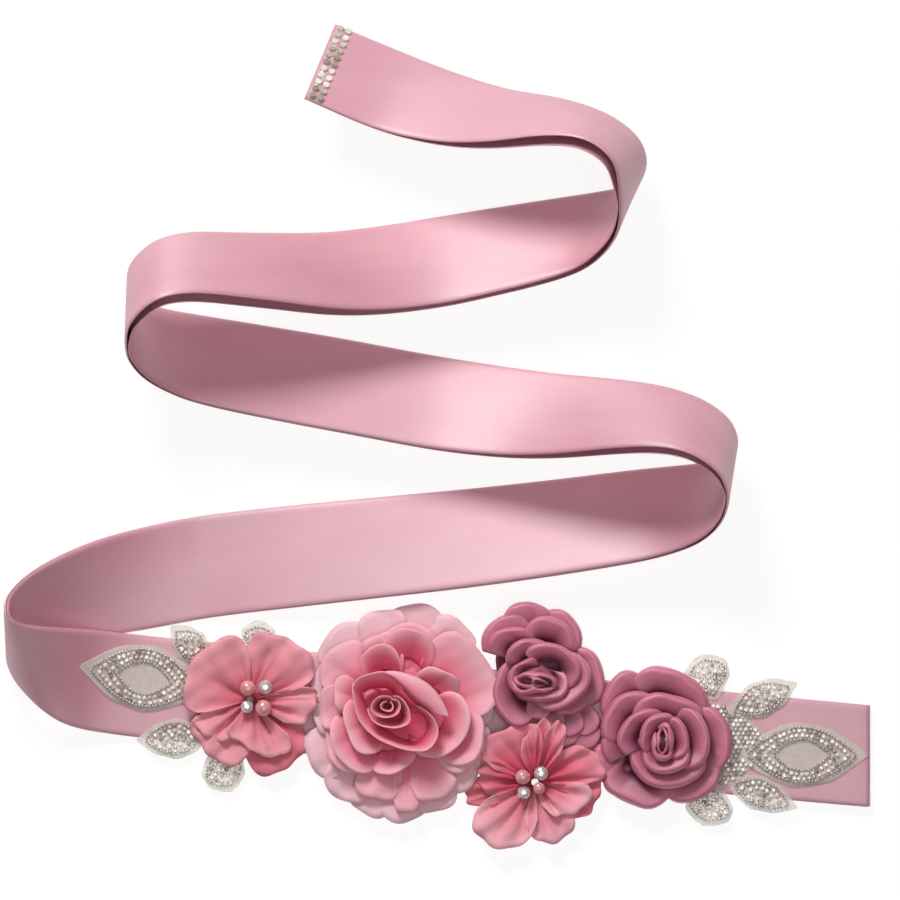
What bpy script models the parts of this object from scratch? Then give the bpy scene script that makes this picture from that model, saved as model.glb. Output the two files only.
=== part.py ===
"""Sash belt: a doubled satin ribbon laid down in switchback bends, with a band of cloth flowers,
crystal leaves and beads sewn along its front stretch, and a crystal trim on its tail.

The belt lies on a table. +X runs along the front stretch, +Y to the top of the lay, +Z up from
the table. The origin is on the table, under the middle of the whole lay.
"""
import math

import bmesh
import bpy
import numpy as np

# Driving sizes, in millimetres
MM = 0.001
RIBBON_WIDTH = 40.0
PLY = 1.0
GAP = 0.3
HALF_GAP = GAP / 2
PLY_OUT = HALF_GAP + PLY
RIBBON_STEPS = 3
WIDTH_COLUMNS = (0.0, 0.5, 1.0)
LAY_GAP = 0.4

# The ribbon, one row for each section across it, from the tail to the turned end of the front.
# edge_x, edge_y, edge_z: where its upper edge is, halfway between the two plies.
# swing: turn of the width from straight down the lay, rise: climb of the width, in degrees.
# splay: how far the plies part at the lower edge, plus for the outer ply, minus for the inner.
RIBBON_SECTIONS = (
    # edge_x, edge_y, edge_z, swing, rise, splay
    (-40.4, 161.4, 1.4, -22.0, 38.0, 0.0),
    (-15.0, 150.8, 1.6, -22.5, 37.0, 0.0),
    (8.6, 141.6, 4.0, -21.0, 45.0, -1.2),
    (28.2, 135.6, 9.0, -19.0, 57.0, -2.8),
    (47.8, 132.0, 15.5, -18.0, 67.0, -3.6),
    (62.5, 127.3, 19.5, -24.0, 71.0, -3.6),
    (73.0, 121.3, 20.5, -33.0, 70.0, -3.0),
    (79.4, 114.4, 18.0, -37.0, 66.0, -2.0),
    (81.2, 108.0, 13.5, -31.0, 59.0, 0.0),
    (79.2, 101.6, 8.0, -26.0, 54.0, 0.8),
    (73.5, 97.8, 3.8, -22.0, 47.0, 1.6),
    (63.5, 95.8, 1.8, -16.5, 39.0, 2.0),
    (47.8, 93.4, 1.4, -9.5, 36.0, 2.0),
    (24.3, 89.8, 1.4, -1.5, 34.0, 2.0),
    (0.8, 86.0, 2.2, 3.5, 32.0, 2.2),
    (-26.7, 81.6, 6.0, 4.0, 36.0, 2.8),
    (-50.2, 79.4, 12.5, 3.0, 44.0, 3.6),
    (-73.7, 79.4, 21.0, 1.8, 50.0, 3.8),
    (-93.3, 79.8, 27.5, 1.0, 53.0, 3.8),
    (-107.1, 77.6, 29.5, 0.2, 54.0, 3.2),
    (-116.3, 71.6, 27.0, -0.6, 53.0, 2.4),
    (-120.4, 65.3, 21.0, -1.2, 51.0, 1.0),
    (-120.8, 58.8, 14.0, -0.6, 49.5, 0.0),
    (-116.9, 53.4, 7.4, 1.0, 45.0, -0.6),
    (-107.8, 50.0, 3.2, 1.2, 38.5, -0.6),
    (-93.3, 47.4, 1.5, -1.2, 32.0, -0.6),
    (-69.8, 43.6, 1.4, -4.5, 28.5, -0.6),
    (-38.4, 38.4, 1.4, -6.0, 26.0, -0.6),
    (-3.1, 31.8, 2.0, -6.0, 26.0, -0.8),
    (24.3, 27.4, 5.0, -5.2, 30.0, -1.4),
    (47.8, 24.2, 10.0, -4.0, 39.0, -2.4),
    (67.5, 22.4, 17.0, -3.0, 47.0, -2.8),
    (85.1, 20.0, 22.0, -3.6, 53.0, -2.8),
    (99.2, 16.0, 23.8, -7.5, 56.0, -2.4),
    (109.4, 10.4, 22.0, -12.0, 57.0, -1.6),
    (114.9, 4.5, 18.0, -12.5, 57.5, -0.8),
    (116.7, -1.4, 13.5, -10.5, 55.5, 0.0),
    (115.2, -6.3, 8.6, -10.0, 50.5, 0.4),
    (109.4, -9.6, 4.2, -10.0, 41.5, 0.8),
    (100.0, -11.0, 1.8, -9.0, 33.5, 1.0),
    (79.2, -13.0, 1.4, -5.5, 25.0, 1.0),
    (47.8, -16.8, 1.3, -2.6, 21.0, 0.8),
    (8.6, -21.0, 1.15, 0.0, 16.0, 0.4),
    (-26.7, -24.2, 1.15, 2.2, 11.0, 0.0),
    (-62.0, -27.6, 1.15, 4.0, 5.0, 0.0),
    (-93.3, -31.2, 1.8, 5.6, -0.8, 0.0),
    (-113.5, -35.2, 6.8, 6.8, -8.0, 0.0),
    (-131.5, -40.0, 14.5, 7.4, -19.0, 0.0),
    (-146.3, -46.0, 22.0, 7.4, -31.0, 0.0),
    (-158.0, -52.6, 28.0, 7.0, -41.5, 0.0),
    (-165.1, -58.8, 33.5, 5.0, -51.0, 0.0),
    (-168.2, -64.2, 38.5, 2.0, -58.0, 0.0),
    (-168.4, -68.4, 42.0, 0.6, -60.0, 0.0),
    (-166.2, -71.4, 42.5, 1.6, -54.0, 0.0),
    (-161.8, -73.2, 39.5, 3.2, -44.0, 0.0),
    (-155.3, -74.2, 31.5, 3.0, -31.5, 0.0),
    (-146.7, -74.8, 20.5, 1.6, -18.0, 0.0),
    (-132.5, -76.0, 8.0, -1.8, -6.5, 0.0),
    (-112.9, -78.3, 2.2, -4.6, -1.2, 0.0),
    (-89.4, -80.6, 1.15, -5.6, 0.0, 0.0),
    (20.0, -91.1, 1.15, -5.6, 0.0, 0.0),
    (124.0, -101.1, 1.15, -5.6, 0.0, 0.0),
    (141.0, -102.7, 2.45, -4.0, 0.0, 0.0),
    (167.7, -105.2, 2.45, 0.0, 0.0, 0.0),
)
# Rows at which one stretch of ribbon hands over to the next: straights and bends by turns
STRETCH_ROWS = (0, 4, 12, 16, 26, 30, 40, 44, 58, 63)
LAST = len(RIBBON_SECTIONS) - 1
FRONT_ROW = 52

# The turned end: the outer ply rolls under and runs back beneath the front
TURN_RADIUS = 1.8
TURN_RETURN = 22.0
TURN_STEPS = 6
TURN_INSET = 0.4
INNER_PLY_SHORT = 0.6

# The tail's crystal trim, two rows of set stones side by side
TRIM_WIDTH = 7.0
TRIM_START = 0.8
TRIM_BASE = 1.0
TRIM_STONE = 1.6
TRIM_STONES = 11

# Crystal leaves, one row each: root, tip and greatest width on plan, and where it is widest
LEAF_RIM = 1.8
LEAF_SHEER = 0.8
LEAF_RIM_SHARE = 0.45
LEAF_RIM_SLOPE = 0.08
LEAF_END_SHARE = 0.02
LEAF_END_HALF = 0.4
LEAF_ROUNDNESS = 0.9
LEAF_ROWS = 9
LEAVES = (
    # name, root_x, root_y, tip_x, tip_y, width, widest
    ("leaf_left_1", -90.5, -99.0, -140.2, -90.0, 26.0, 0.5),
    ("leaf_left_2", -91.0, -87.4, -104.6, -74.4, 13.0, 0.42),
    ("leaf_left_3", -91.5, -118.0, -118.0, -119.0, 15.6, 0.42),
    ("leaf_left_4", -87.2, -122.8, -81.0, -139.2, 17.0, 0.5),
    ("leaf_left_5", -70.6, -86.0, -70.4, -72.2, 13.5, 0.6),
    ("leaf_right_1", 109.0, -103.4, 103.0, -85.6, 18.0, 0.6),
    ("leaf_right_2", 113.0, -109.0, 140.6, -96.8, 14.0, 0.5),
    ("leaf_right_3", 116.6, -124.6, 168.4, -124.8, 25.4, 0.5),
    ("leaf_right_4", 113.6, -135.0, 140.6, -145.6, 13.4, 0.47),
    ("leaf_right_5", 109.0, -136.6, 104.2, -152.6, 19.0, 0.56),
)

# Layered flowers. Their lowest layer sits on the ribbon near the middle and clears the leaves
# further out. Each lobe row gives the way a petal points and how far it reaches.
SEAT_RADIUS = 14.0
CLEAR_RADIUS = 19.0
FRONT_TOP = 2 * PLY + GAP
SEAT_Z = FRONT_TOP + LAY_GAP
LEAF_CLEARANCE = 0.5
CLEAR_Z = SEAT_Z + LEAF_RIM + LEAF_CLEARANCE
PETAL = 1.0
ROSE_SPOKES = 44
RIM_CUP = 2.2

CHIFFON_CENTRE = (-13.7, -108.0)
CHIFFON_LAYERS = (
    # name, lift of the rim, notch depth, lobes as (angle, reach)
    ("chiffon_rose_outer", 0.6, 0.12, ((8, 36.2), (45, 41.5), (72, 42.5), (100, 41.5), (135, 42.0),
                                       (172, 32.8), (212, 41.5), (247, 43.0), (285, 41.5),
                                       (322, 34.6))),
    ("chiffon_rose_middle", 4.0, 0.1, ((25, 34.0), (62, 33.5), (100, 33.0), (140, 33.0),
                                       (185, 31.0), (225, 34.0), (265, 34.0), (308, 33.0))),
    ("chiffon_rose_inner", 7.5, 0.08, ((10, 28.0), (60, 25.0), (110, 24.5), (165, 26.5),
                                       (215, 27.0), (262, 27.0), (312, 29.0))),
)
SATIN_1_CENTRE = (40.6, -90.6)
SATIN_1_LOBES = ((18, 25.0), (66, 25.4), (104, 26.4), (150, 25.0), (196, 17.0), (237, 22.5),
                 (300, 19.0), (340, 24.0))
SATIN_2_CENTRE = (88.4, -117.8)
SATIN_2_LOBES = ((32, 25.6), (76, 27.6), (109, 29.2), (141, 31.0), (178, 28.0), (217, 29.6),
                 (262, 28.8), (312, 28.8), (350, 26.8))
SATIN_RIM_LIFT = 3.6
SATIN_NOTCH = 0.07

# Coiled walls at the roses' middles
COIL_WALL = 1.0
COIL_FOOT_GAP = 0.6
COILS = (
    # name, x, y, turns, first_r, last_r, lean, first_top, last_top, start
    ("chiffon_rose_heart", -18.6, -105.6, 2.6, 3.4, 15.0, 2.6, 24.0, 18.0, 40.0),
    ("satin_rose_1_coil", 41.2, -91.4, 2.9, 3.2, 15.4, 2.6, 23.0, 16.5, 200.0),
    ("satin_rose_2_coil", 90.0, -117.2, 3.3, 3.2, 18.4, 2.6, 24.0, 16.5, 80.0),
)
COIL_STEPS_PER_TURN = 16

# Five-petalled flowers: every petal is a folded round of chiffon. Its fold lifts its underside
# and, twice as much, its top, so the doubled cloth is thickest along the middle.
SMALL_PETAL = 1.0
SMALL_ROOT = 2.4
SMALL_SLIT = 0.35
UNDER_LIFT = 0.25
TOP_LIFT = 0.5
FOLD_START = 0.1
FOLD_SPAN = 0.85
FOLD_POWER = 1.5
PETAL_TAPER = 0.1
TAPER_POWER = 4
PETAL_ROUNDNESS = 0.17
ROUNDNESS_POWER = 2.6
SEAT_SPREAD = 1.15
PETAL_COLUMNS = (-1.0, -0.6, 0.0, 0.6, 1.0)
PETAL_SHARES = (0.0, 0.3, 0.6, 0.85, 1.0)
SMALL_FLOWERS = (
    # name, x, y, petals as (angle, half angle, reach, crest height)
    ("small_flower_1", -71.4, -102.4, ((2, 33, 23.0, 8.0), (68, 31, 27.0, 7.0),
                                       (141, 40, 31.0, 8.0), (215, 32, 24.5, 6.5),
                                       (284, 35, 29.5, 7.5))),
    ("small_flower_2", 36.6, -135.4, ((12, 33, 28.0, 8.0), (80, 33, 23.6, 8.0),
                                      (150, 36, 21.2, 8.5), (226, 38, 31.0, 7.0),
                                      (301, 35, 28.0, 7.5))),
)

# Large beads at the small flowers' middles
BEADS = (
    # name, x, y, radius
    ("bead_1_pearl_1", -74.6, -98.6, 3.1),
    ("bead_1_crystal_1", -67.6, -98.2, 2.8),
    ("bead_1_crystal_2", -74.8, -105.8, 2.5),
    ("bead_1_pearl_2", -68.4, -106.4, 3.3),
    ("bead_2_pearl_1", 33.2, -133.4, 3.0),
    ("bead_2_crystal_1", 40.4, -132.0, 2.8),
    ("bead_2_pearl_2", 39.6, -137.8, 2.4),
    ("bead_2_crystal_2", 33.6, -139.4, 2.6),
)
BEAD_SEAT_GAP = 0.4
BEAD_SEAT_STEPS = 12

# Colours, as linear base colours
SATIN_PINK = (0.60, 0.33, 0.38)
SATIN_MAUVE = (0.42, 0.14, 0.22)
CHIFFON_PINK = (0.80, 0.34, 0.40)
CORAL = (0.70, 0.24, 0.27)
DEEP_CORAL = (0.68, 0.16, 0.20)
CRYSTAL_IVORY = (0.62, 0.54, 0.46)
CRYSTAL_SILVER = (0.60, 0.58, 0.56)
PEARL_PINK = (0.78, 0.38, 0.38)
CRYSTAL_CLEAR = (0.75, 0.72, 0.70)


def clear_scene():
    for thing in list(bpy.data.objects):
        bpy.data.objects.remove(thing, do_unlink=True)


def material(name, colour, roughness, metallic=0.0):
    made = bpy.data.materials.new(name)
    made.use_nodes = True
    shader = made.node_tree.nodes["Principled BSDF"]
    shader.inputs["Base Color"].default_value = (*colour, 1.0)
    shader.inputs["Roughness"].default_value = roughness
    shader.inputs["Metallic"].default_value = metallic
    return made


def add_solid(name, points, faces, look):
    """One closed body from points in millimetres, with its faces turned outwards."""
    mesh = bpy.data.meshes.new(name)
    mesh.from_pydata([tuple(float(c) * MM for c in p) for p in points], [], faces)
    shape = bmesh.new()
    shape.from_mesh(mesh)
    bmesh.ops.triangulate(shape, faces=shape.faces)
    bmesh.ops.recalc_face_normals(shape, faces=shape.faces)
    if shape.calc_volume(signed=True) < 0:
        bmesh.ops.reverse_faces(shape, faces=shape.faces)
    shape.to_mesh(mesh)
    shape.free()
    mesh.materials.append(look)
    made = bpy.data.objects.new(name, mesh)
    bpy.context.scene.collection.objects.link(made)
    mesh.shade_smooth()
    mesh.set_sharp_from_angle(angle=math.radians(40))
    return made


def wall_faces(rows, columns):
    """Faces of a sheet with two sides and four edges: side one's grid first, then side two's."""
    second = rows * columns

    def at(row, column, side):
        return side * second + row * columns + column

    faces = []
    for row in range(rows - 1):
        for column in range(columns - 1):
            near = [(row, column), (row, column + 1), (row + 1, column + 1), (row + 1, column)]
            faces.append([at(r, c, 0) for r, c in near])
            faces.append([at(r, c, 1) for r, c in reversed(near)])
    for row in range(rows - 1):
        for column in (0, columns - 1):
            faces.append([at(row, column, 0), at(row + 1, column, 0),
                          at(row + 1, column, 1), at(row, column, 1)])
    for column in range(columns - 1):
        for row in (0, rows - 1):
            faces.append([at(row, column, 0), at(row, column + 1, 0),
                          at(row, column + 1, 1), at(row, column, 1)])
    return faces


def monotone_slopes(values, steps):
    """Slopes at table rows that never overshoot between them."""
    rates = np.diff(values, axis=0) / steps[:, None]
    slopes = np.zeros_like(values)
    slopes[0], slopes[-1] = rates[0], rates[-1]
    before, after = steps[:-1, None], steps[1:, None]
    weight_1, weight_2 = 2 * after + before, after + 2 * before
    same_way = rates[:-1] * rates[1:] > 0
    safe_1 = np.where(same_way, rates[:-1], 1.0)
    safe_2 = np.where(same_way, rates[1:], 1.0)
    blended = (weight_1 + weight_2) / (weight_1 / safe_1 + weight_2 / safe_2)
    slopes[1:-1] = np.where(same_way, blended, 0.0)
    return slopes


def smooth_rows(rows, count):
    """The table's rows with count steps from each to the next, on smooth curves through them."""
    table = np.array(rows, dtype=float)
    steps = np.linalg.norm(np.diff(table[:, :3], axis=0), axis=1)
    slopes = monotone_slopes(table, steps)
    stations = []
    for row, step in enumerate(steps):
        for share in np.arange(count) / count:
            square, cube = share ** 2, share ** 3
            stations.append(table[row] * (2 * cube - 3 * square + 1)
                            + slopes[row] * step * (cube - 2 * square + share)
                            + table[row + 1] * (3 * square - 2 * cube)
                            + slopes[row + 1] * step * (cube - square))
    stations.append(table[-1])
    return np.array(stations)


def ribbon_frame():
    """Edge points, width directions, run directions, outward normals and splay by station."""
    rows = smooth_rows(RIBBON_SECTIONS, RIBBON_STEPS)
    edge = rows[:, :3]
    swing, rise = np.radians(rows[:, 3]), np.radians(rows[:, 4])
    across = np.stack([np.sin(swing) * np.cos(rise), -np.cos(swing) * np.cos(rise),
                       np.sin(rise)], axis=1)
    lower_edge_drop = RIBBON_WIDTH * np.maximum(0.0, -across[:, 2])
    edge[:, 2] = np.maximum(edge[:, 2], PLY_OUT + lower_edge_drop)
    run = np.gradient(edge + across * RIBBON_WIDTH / 2, axis=0)
    run /= np.linalg.norm(run, axis=1)[:, None]
    normal = np.cross(across, run)
    normal /= np.linalg.norm(normal, axis=1)[:, None]
    return {"edge": edge, "across": across, "run": run, "normal": normal, "splay": rows[:, 5]}


def ribbon_surface(frame, first, last, offset, side, columns=WIDTH_COLUMNS):
    """Grid of points at an offset from the middle of the ribbon, parted from it by the splay."""
    points = []
    for station in range(first, last + 1):
        splay = frame["splay"][station]
        parted = splay if splay * side > 0 else 0.0
        for share in columns:
            points.append(frame["edge"][station]
                          + frame["across"][station] * RIBBON_WIDTH * share
                          + frame["normal"][station] * (offset + parted * share ** 2))
    return np.array(points)


def ribbon_stretch(name, frame, first, last, side, look):
    """One ply of one stretch, its ends drawn back for the gap at each join."""
    columns = len(WIDTH_COLUMNS)
    near = ribbon_surface(frame, first, last, side * HALF_GAP, side)
    far = ribbon_surface(frame, first, last, side * PLY_OUT, side)
    for points in (near, far):
        points[:columns] += frame["run"][first] * HALF_GAP
        points[-columns:] -= frame["run"][last] * HALF_GAP
    rows = last - first + 1
    return add_solid(name, np.concatenate([near, far]), wall_faces(rows, columns), look)


def ribbon_plies(frame, look):
    """Outer and inner ply of every stretch that shows; the inner one stops short of the turn."""
    for index, (start, end) in enumerate(zip(STRETCH_ROWS, STRETCH_ROWS[1:]), 1):
        first, last = start * RIBBON_STEPS, end * RIBBON_STEPS
        ribbon_stretch(f"ribbon_outer_{index}", frame, first, last, 1, look)
        inner = ribbon_stretch(f"ribbon_inner_{index}", frame, first, last, -1, look)
        if end == LAST:
            limit = (RIBBON_SECTIONS[LAST][0] - INNER_PLY_SHORT) * MM
            for vertex in inner.data.vertices:
                vertex.co.x = min(vertex.co.x, limit)


def turned_end(look):
    """The end of the front, rolled under in a half round and run back flat on the table."""
    end_x, end_y = RIBBON_SECTIONS[LAST][0], RIBBON_SECTIONS[LAST][1]
    start_x = end_x + HALF_GAP
    outer, inner = [], []
    for step in range(TURN_STEPS + 1):
        angle = math.pi / 2 - math.pi * step / TURN_STEPS
        for path, radius in ((outer, TURN_RADIUS), (inner, TURN_RADIUS - PLY)):
            path.append((start_x + radius * math.cos(angle),
                         TURN_RADIUS + radius * math.sin(angle)))
    outer.append((start_x - TURN_RETURN, 0.0))
    inner.append((start_x - TURN_RETURN, PLY))
    slope = math.tan(math.radians(-RIBBON_SECTIONS[LAST - 2][3]))
    points = []
    for path in (outer, inner):
        for x, z in path:
            top = end_y + max(0.0, end_x - x) * slope - TURN_INSET
            points.append((x, top, z))
            points.append((x, top - RIBBON_WIDTH + 2 * TURN_INSET, z))
    return add_solid("ribbon_turned_end", points, wall_faces(len(outer), 2), look)


def tail_trim(frame, look):
    """A bar of two rows of stones across the tail's end, raised over a plain inside."""
    spots = 2 * TRIM_STONES + 1
    along = (0.0, 0.28, 0.5, 0.72, 1.0)
    lift = (0.0, 1.0, 0.35, 1.0, 0.0)
    below, above = [], []
    edge, across = frame["edge"][0], frame["across"][0]
    run, normal = frame["run"][0], frame["normal"][0]
    for share, height in zip(along, lift):
        for spot in range(spots):
            stone = 1.0 if spot % 2 else 0.35
            foot = (edge + across * RIBBON_WIDTH * spot / (spots - 1)
                    + run * (TRIM_START + TRIM_WIDTH * share))
            below.append(foot + normal * (PLY_OUT + GAP))
            above.append(foot + normal * (PLY_OUT + GAP + TRIM_BASE + TRIM_STONE * height * stone))
    return add_solid("tail_crystal_trim", below + above, wall_faces(len(along), spots), look)


def belt_top(frame, x, y):
    """Height of the front stretch's upper face under a place on plan."""
    first = FRONT_ROW * RIBBON_STEPS + RIBBON_STEPS
    edge, across = frame["edge"][first:], frame["across"][first:]
    low = edge + across * RIBBON_WIDTH
    edge_y = np.interp(x, edge[:, 0], edge[:, 1])
    low_y = np.interp(x, low[:, 0], low[:, 1])
    share = min(1.0, max(0.0, (edge_y - y) / (edge_y - low_y)))
    edge_z = np.interp(x, edge[:, 0], edge[:, 2])
    low_z = np.interp(x, low[:, 0], low[:, 2])
    return edge_z + (low_z - edge_z) * share + PLY_OUT


def crystal_leaf(frame, row, look):
    """A pointed leaf: a sheer middle inside a raised rim, bent to the ribbon that it lies on."""
    name, root_x, root_y, tip_x, tip_y, width, widest = row
    spine = np.array([tip_x - root_x, tip_y - root_y])
    length = np.linalg.norm(spine)
    ahead = spine / length
    aside = np.array([-ahead[1], ahead[0]])
    inner = 1 - LEAF_RIM_SHARE
    step_in = inner - LEAF_RIM_SLOPE
    columns = (-1.0, -inner, -step_in, step_in, inner, 1.0)
    tops = (LEAF_RIM, LEAF_RIM, LEAF_SHEER, LEAF_SHEER, LEAF_RIM, LEAF_RIM)
    power = math.log(0.5) / math.log(widest)
    below, above = [], []
    for step in range(LEAF_ROWS):
        share = LEAF_END_SHARE + (1 - 2 * LEAF_END_SHARE) * step / (LEAF_ROWS - 1)
        bulge = math.sin(math.pi * share ** power)
        half = LEAF_END_HALF + (width / 2 - LEAF_END_HALF) * bulge ** LEAF_ROUNDNESS
        closed = step in (0, LEAF_ROWS - 1)
        for column, top in zip(columns, tops):
            place = np.array([root_x, root_y]) + ahead * length * share + aside * half * column
            foot = belt_top(frame, *place) + LAY_GAP
            below.append((*place, foot))
            above.append((*place, foot + (LEAF_RIM if closed else top)))
    return add_solid(name, below + above, wall_faces(LEAF_ROWS, len(columns)), look)


def lobed_reach(angle, lobes, notch):
    """Reach of a scalloped outline: round lobes that meet in notches."""
    bearings = [math.radians(lobe[0]) for lobe in lobes]
    best = 0.0
    for index, (bearing, lobe) in enumerate(zip(bearings, lobes)):
        before = (bearing - bearings[index - 1]) % math.tau
        after = (bearings[(index + 1) % len(lobes)] - bearing) % math.tau
        off = (angle - bearing + math.pi) % math.tau - math.pi
        half = (before if off < 0 else after) / 2
        share = min(1.3, abs(off) / half)
        best = max(best, lobe[1] * (1 - notch * share ** 2))
    return best


def seat_height(radius):
    """Underside of a flower's lowest layer: on the ribbon inside, above the leaves outside."""
    share = min(1.0, max(0.0, (radius - SEAT_RADIUS) / (CLEAR_RADIUS - SEAT_RADIUS)))
    return SEAT_Z + (CLEAR_Z - SEAT_Z) * share


def layer(name, centre, level, rim_lift, notch, lobes):
    """A scalloped layer of a rose: its place up the stack, and how far its rim is cupped."""
    return {"name": name, "centre": centre, "level": level, "rim_lift": rim_lift,
            "notch": notch, "lobes": lobes}


def layer_underside(petals, x, y):
    """Height of a layer's underside over a place on plan."""
    dx, dy = x - petals["centre"][0], y - petals["centre"][1]
    radius = math.hypot(dx, dy)
    share = radius / lobed_reach(math.atan2(dy, dx), petals["lobes"], petals["notch"])
    return (seat_height(radius) + petals["level"] * (PETAL + LAY_GAP)
            + petals["rim_lift"] * min(1.0, share) ** RIM_CUP)


def layer_radii(reach):
    """Rings of a layer: the same ones inside for every layer, so that stacked ones stay clear."""
    return (SEAT_RADIUS / 2, SEAT_RADIUS, CLEAR_RADIUS, (CLEAR_RADIUS + reach) / 2, reach)


def lobed_disc(petals, look):
    """A scalloped round of cloth with its middle closed, as a wall over its underside."""
    centre = petals["centre"]
    angles = [math.tau * spoke / ROSE_SPOKES for spoke in range(ROSE_SPOKES)]
    radii = [layer_radii(lobed_reach(angle, petals["lobes"], petals["notch"])) for angle in angles]
    ring_count = len(radii[0])
    points = []
    for lift in (0.0, PETAL):
        points.append((*centre, layer_underside(petals, *centre) + lift))
        for ring in range(ring_count):
            for angle, spoke_radii in zip(angles, radii):
                x = centre[0] + spoke_radii[ring] * math.cos(angle)
                y = centre[1] + spoke_radii[ring] * math.sin(angle)
                points.append((x, y, layer_underside(petals, x, y) + lift))
    side = 1 + ring_count * ROSE_SPOKES
    faces = []
    for spoke in range(ROSE_SPOKES):
        follow = (spoke + 1) % ROSE_SPOKES
        for base in (0, side):
            faces.append([base, base + 1 + spoke, base + 1 + follow])
            for ring in range(ring_count - 1):
                near, far = base + 1 + ring * ROSE_SPOKES, base + 1 + (ring + 1) * ROSE_SPOKES
                faces.append([near + spoke, far + spoke, far + follow, near + follow])
        rim = 1 + (ring_count - 1) * ROSE_SPOKES
        faces.append([rim + spoke, rim + follow, side + rim + follow, side + rim + spoke])
    return add_solid(petals["name"], points, faces, look)


def coiled_wall(row, ground, look):
    """A wall wound outwards from the heart of a rose over the layer below, leaning out."""
    name, x, y, turns, first_r, last_r, lean, first_top, last_top, start = row
    steps = round(turns * COIL_STEPS_PER_TURN)
    shares = (0.0, 0.5, 1.0)
    inner, outer = [], []
    for step in range(steps + 1):
        along = step / steps
        angle = math.radians(start) + math.tau * turns * along
        ahead = np.array([math.cos(angle), math.sin(angle)])
        foot_r = first_r + (last_r - first_r) * along
        feet = [np.array([x, y]) + ahead * (foot_r + reach) for reach in (0.0, COIL_WALL + lean)]
        foot_z = max(layer_underside(ground, *foot) for foot in feet) + PETAL + COIL_FOOT_GAP
        top_z = first_top + (last_top - first_top) * along
        for share in shares:
            for side, offset in ((inner, 0.0), (outer, COIL_WALL)):
                place = np.array([x, y]) + ahead * (foot_r + lean * share ** 2 + offset)
                side.append((*place, foot_z + (top_z - foot_z) * share))
    return add_solid(name, inner + outer, wall_faces(steps + 1, len(shares)), look)


def roses(chiffon, mauve):
    """The chiffon rose of three layers and the two satin roses of one, each with its heart."""
    chiffon_layers = [layer(name, CHIFFON_CENTRE, level, rim_lift, notch, lobes)
                      for level, (name, rim_lift, notch, lobes) in enumerate(CHIFFON_LAYERS)]
    satin_1 = layer("satin_rose_1_outer", SATIN_1_CENTRE, 0, SATIN_RIM_LIFT, SATIN_NOTCH,
                    SATIN_1_LOBES)
    satin_2 = layer("satin_rose_2_outer", SATIN_2_CENTRE, 0, SATIN_RIM_LIFT, SATIN_NOTCH,
                    SATIN_2_LOBES)
    for petals in chiffon_layers:
        lobed_disc(petals, chiffon)
    for petals in (satin_1, satin_2):
        lobed_disc(petals, mauve)
    for row, ground, look in zip(COILS, (chiffon_layers[-1], satin_1, satin_2),
                                 (chiffon, mauve, mauve)):
        coiled_wall(row, ground, look)


def folded_petal(name, centre, row, look):
    """One petal: a round of chiffon folded down its middle, rooted at the flower's heart.

    Returns the grid of points on its upper side.
    """
    bearing, half, reach, crest = row
    below, above = [], []
    for share in PETAL_SHARES:
        for turn in PETAL_COLUMNS:
            spread = math.radians(half * turn * (1.0 - PETAL_TAPER * share ** TAPER_POWER))
            angle = math.radians(bearing) + spread
            edge = reach * (1 - PETAL_ROUNDNESS * abs(turn) ** ROUNDNESS_POWER)
            radius = SMALL_ROOT + (edge - SMALL_ROOT) * share
            slit = SMALL_SLIT if abs(turn) == 1.0 else 0.0
            aside = -math.copysign(slit, turn)
            px = centre[0] + radius * math.cos(angle) - aside * math.sin(angle)
            py = centre[1] + radius * math.sin(angle) + aside * math.cos(angle)
            across_fold = 1 - abs(turn) ** FOLD_POWER
            fold = across_fold * math.sin(math.pi * (share * FOLD_SPAN + FOLD_START))
            base = seat_height(radius * SEAT_SPREAD)
            below.append((px, py, base + crest * UNDER_LIFT * fold))
            above.append((px, py, base + SMALL_PETAL + crest * TOP_LIFT * fold))
    rows, columns = len(PETAL_SHARES), len(PETAL_COLUMNS)
    add_solid(name, below + above, wall_faces(rows, columns), look)
    return np.array(above).reshape(rows, columns, 3)


def small_flowers(looks):
    """Both five-petalled flowers; returns the grids of all their petals' upper sides."""
    return [folded_petal(f"{name}_petal_{index}", (x, y), petal, look)
            for (name, x, y, petals), look in zip(SMALL_FLOWERS, looks)
            for index, petal in enumerate(petals, 1)]


def bead_height(x, y, radius, petal_grids):
    """Height of a bead's centre where it sits just clear of every petal below it."""
    shares = np.linspace(0.0, 1.0, BEAD_SEAT_STEPS)
    down, along = (grid.ravel()[:, None, None] for grid in np.meshgrid(shares, shares))
    spots = np.concatenate([
        (grid[:-1, :-1].reshape(1, -1, 3) * (1 - down) * (1 - along)
         + grid[:-1, 1:].reshape(1, -1, 3) * (1 - down) * along
         + grid[1:, :-1].reshape(1, -1, 3) * down * (1 - along)
         + grid[1:, 1:].reshape(1, -1, 3) * down * along).reshape(-1, 3)
        for grid in petal_grids])
    off = np.hypot(spots[:, 0] - x, spots[:, 1] - y)
    reach = radius + BEAD_SEAT_GAP
    below = off < reach
    return float(np.max(spots[below, 2] + np.sqrt(reach ** 2 - off[below] ** 2)))


def bead(row, petal_grids, looks):
    """A large bead: many-sided for a pearl, fewer facets for a cut crystal."""
    name, x, y, radius = row
    height = bead_height(x, y, radius, petal_grids)
    pearl = "pearl" in name
    shape = bmesh.new()
    bmesh.ops.create_uvsphere(shape, u_segments=10 if pearl else 8, v_segments=6 if pearl else 5,
                              radius=radius * MM)
    bmesh.ops.translate(shape, verts=shape.verts, vec=(x * MM, y * MM, height * MM))
    bmesh.ops.triangulate(shape, faces=shape.faces)
    mesh = bpy.data.meshes.new(name)
    shape.to_mesh(mesh)
    shape.free()
    mesh.materials.append(looks[0] if pearl else looks[1])
    bpy.context.scene.collection.objects.link(bpy.data.objects.new(name, mesh))


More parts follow.
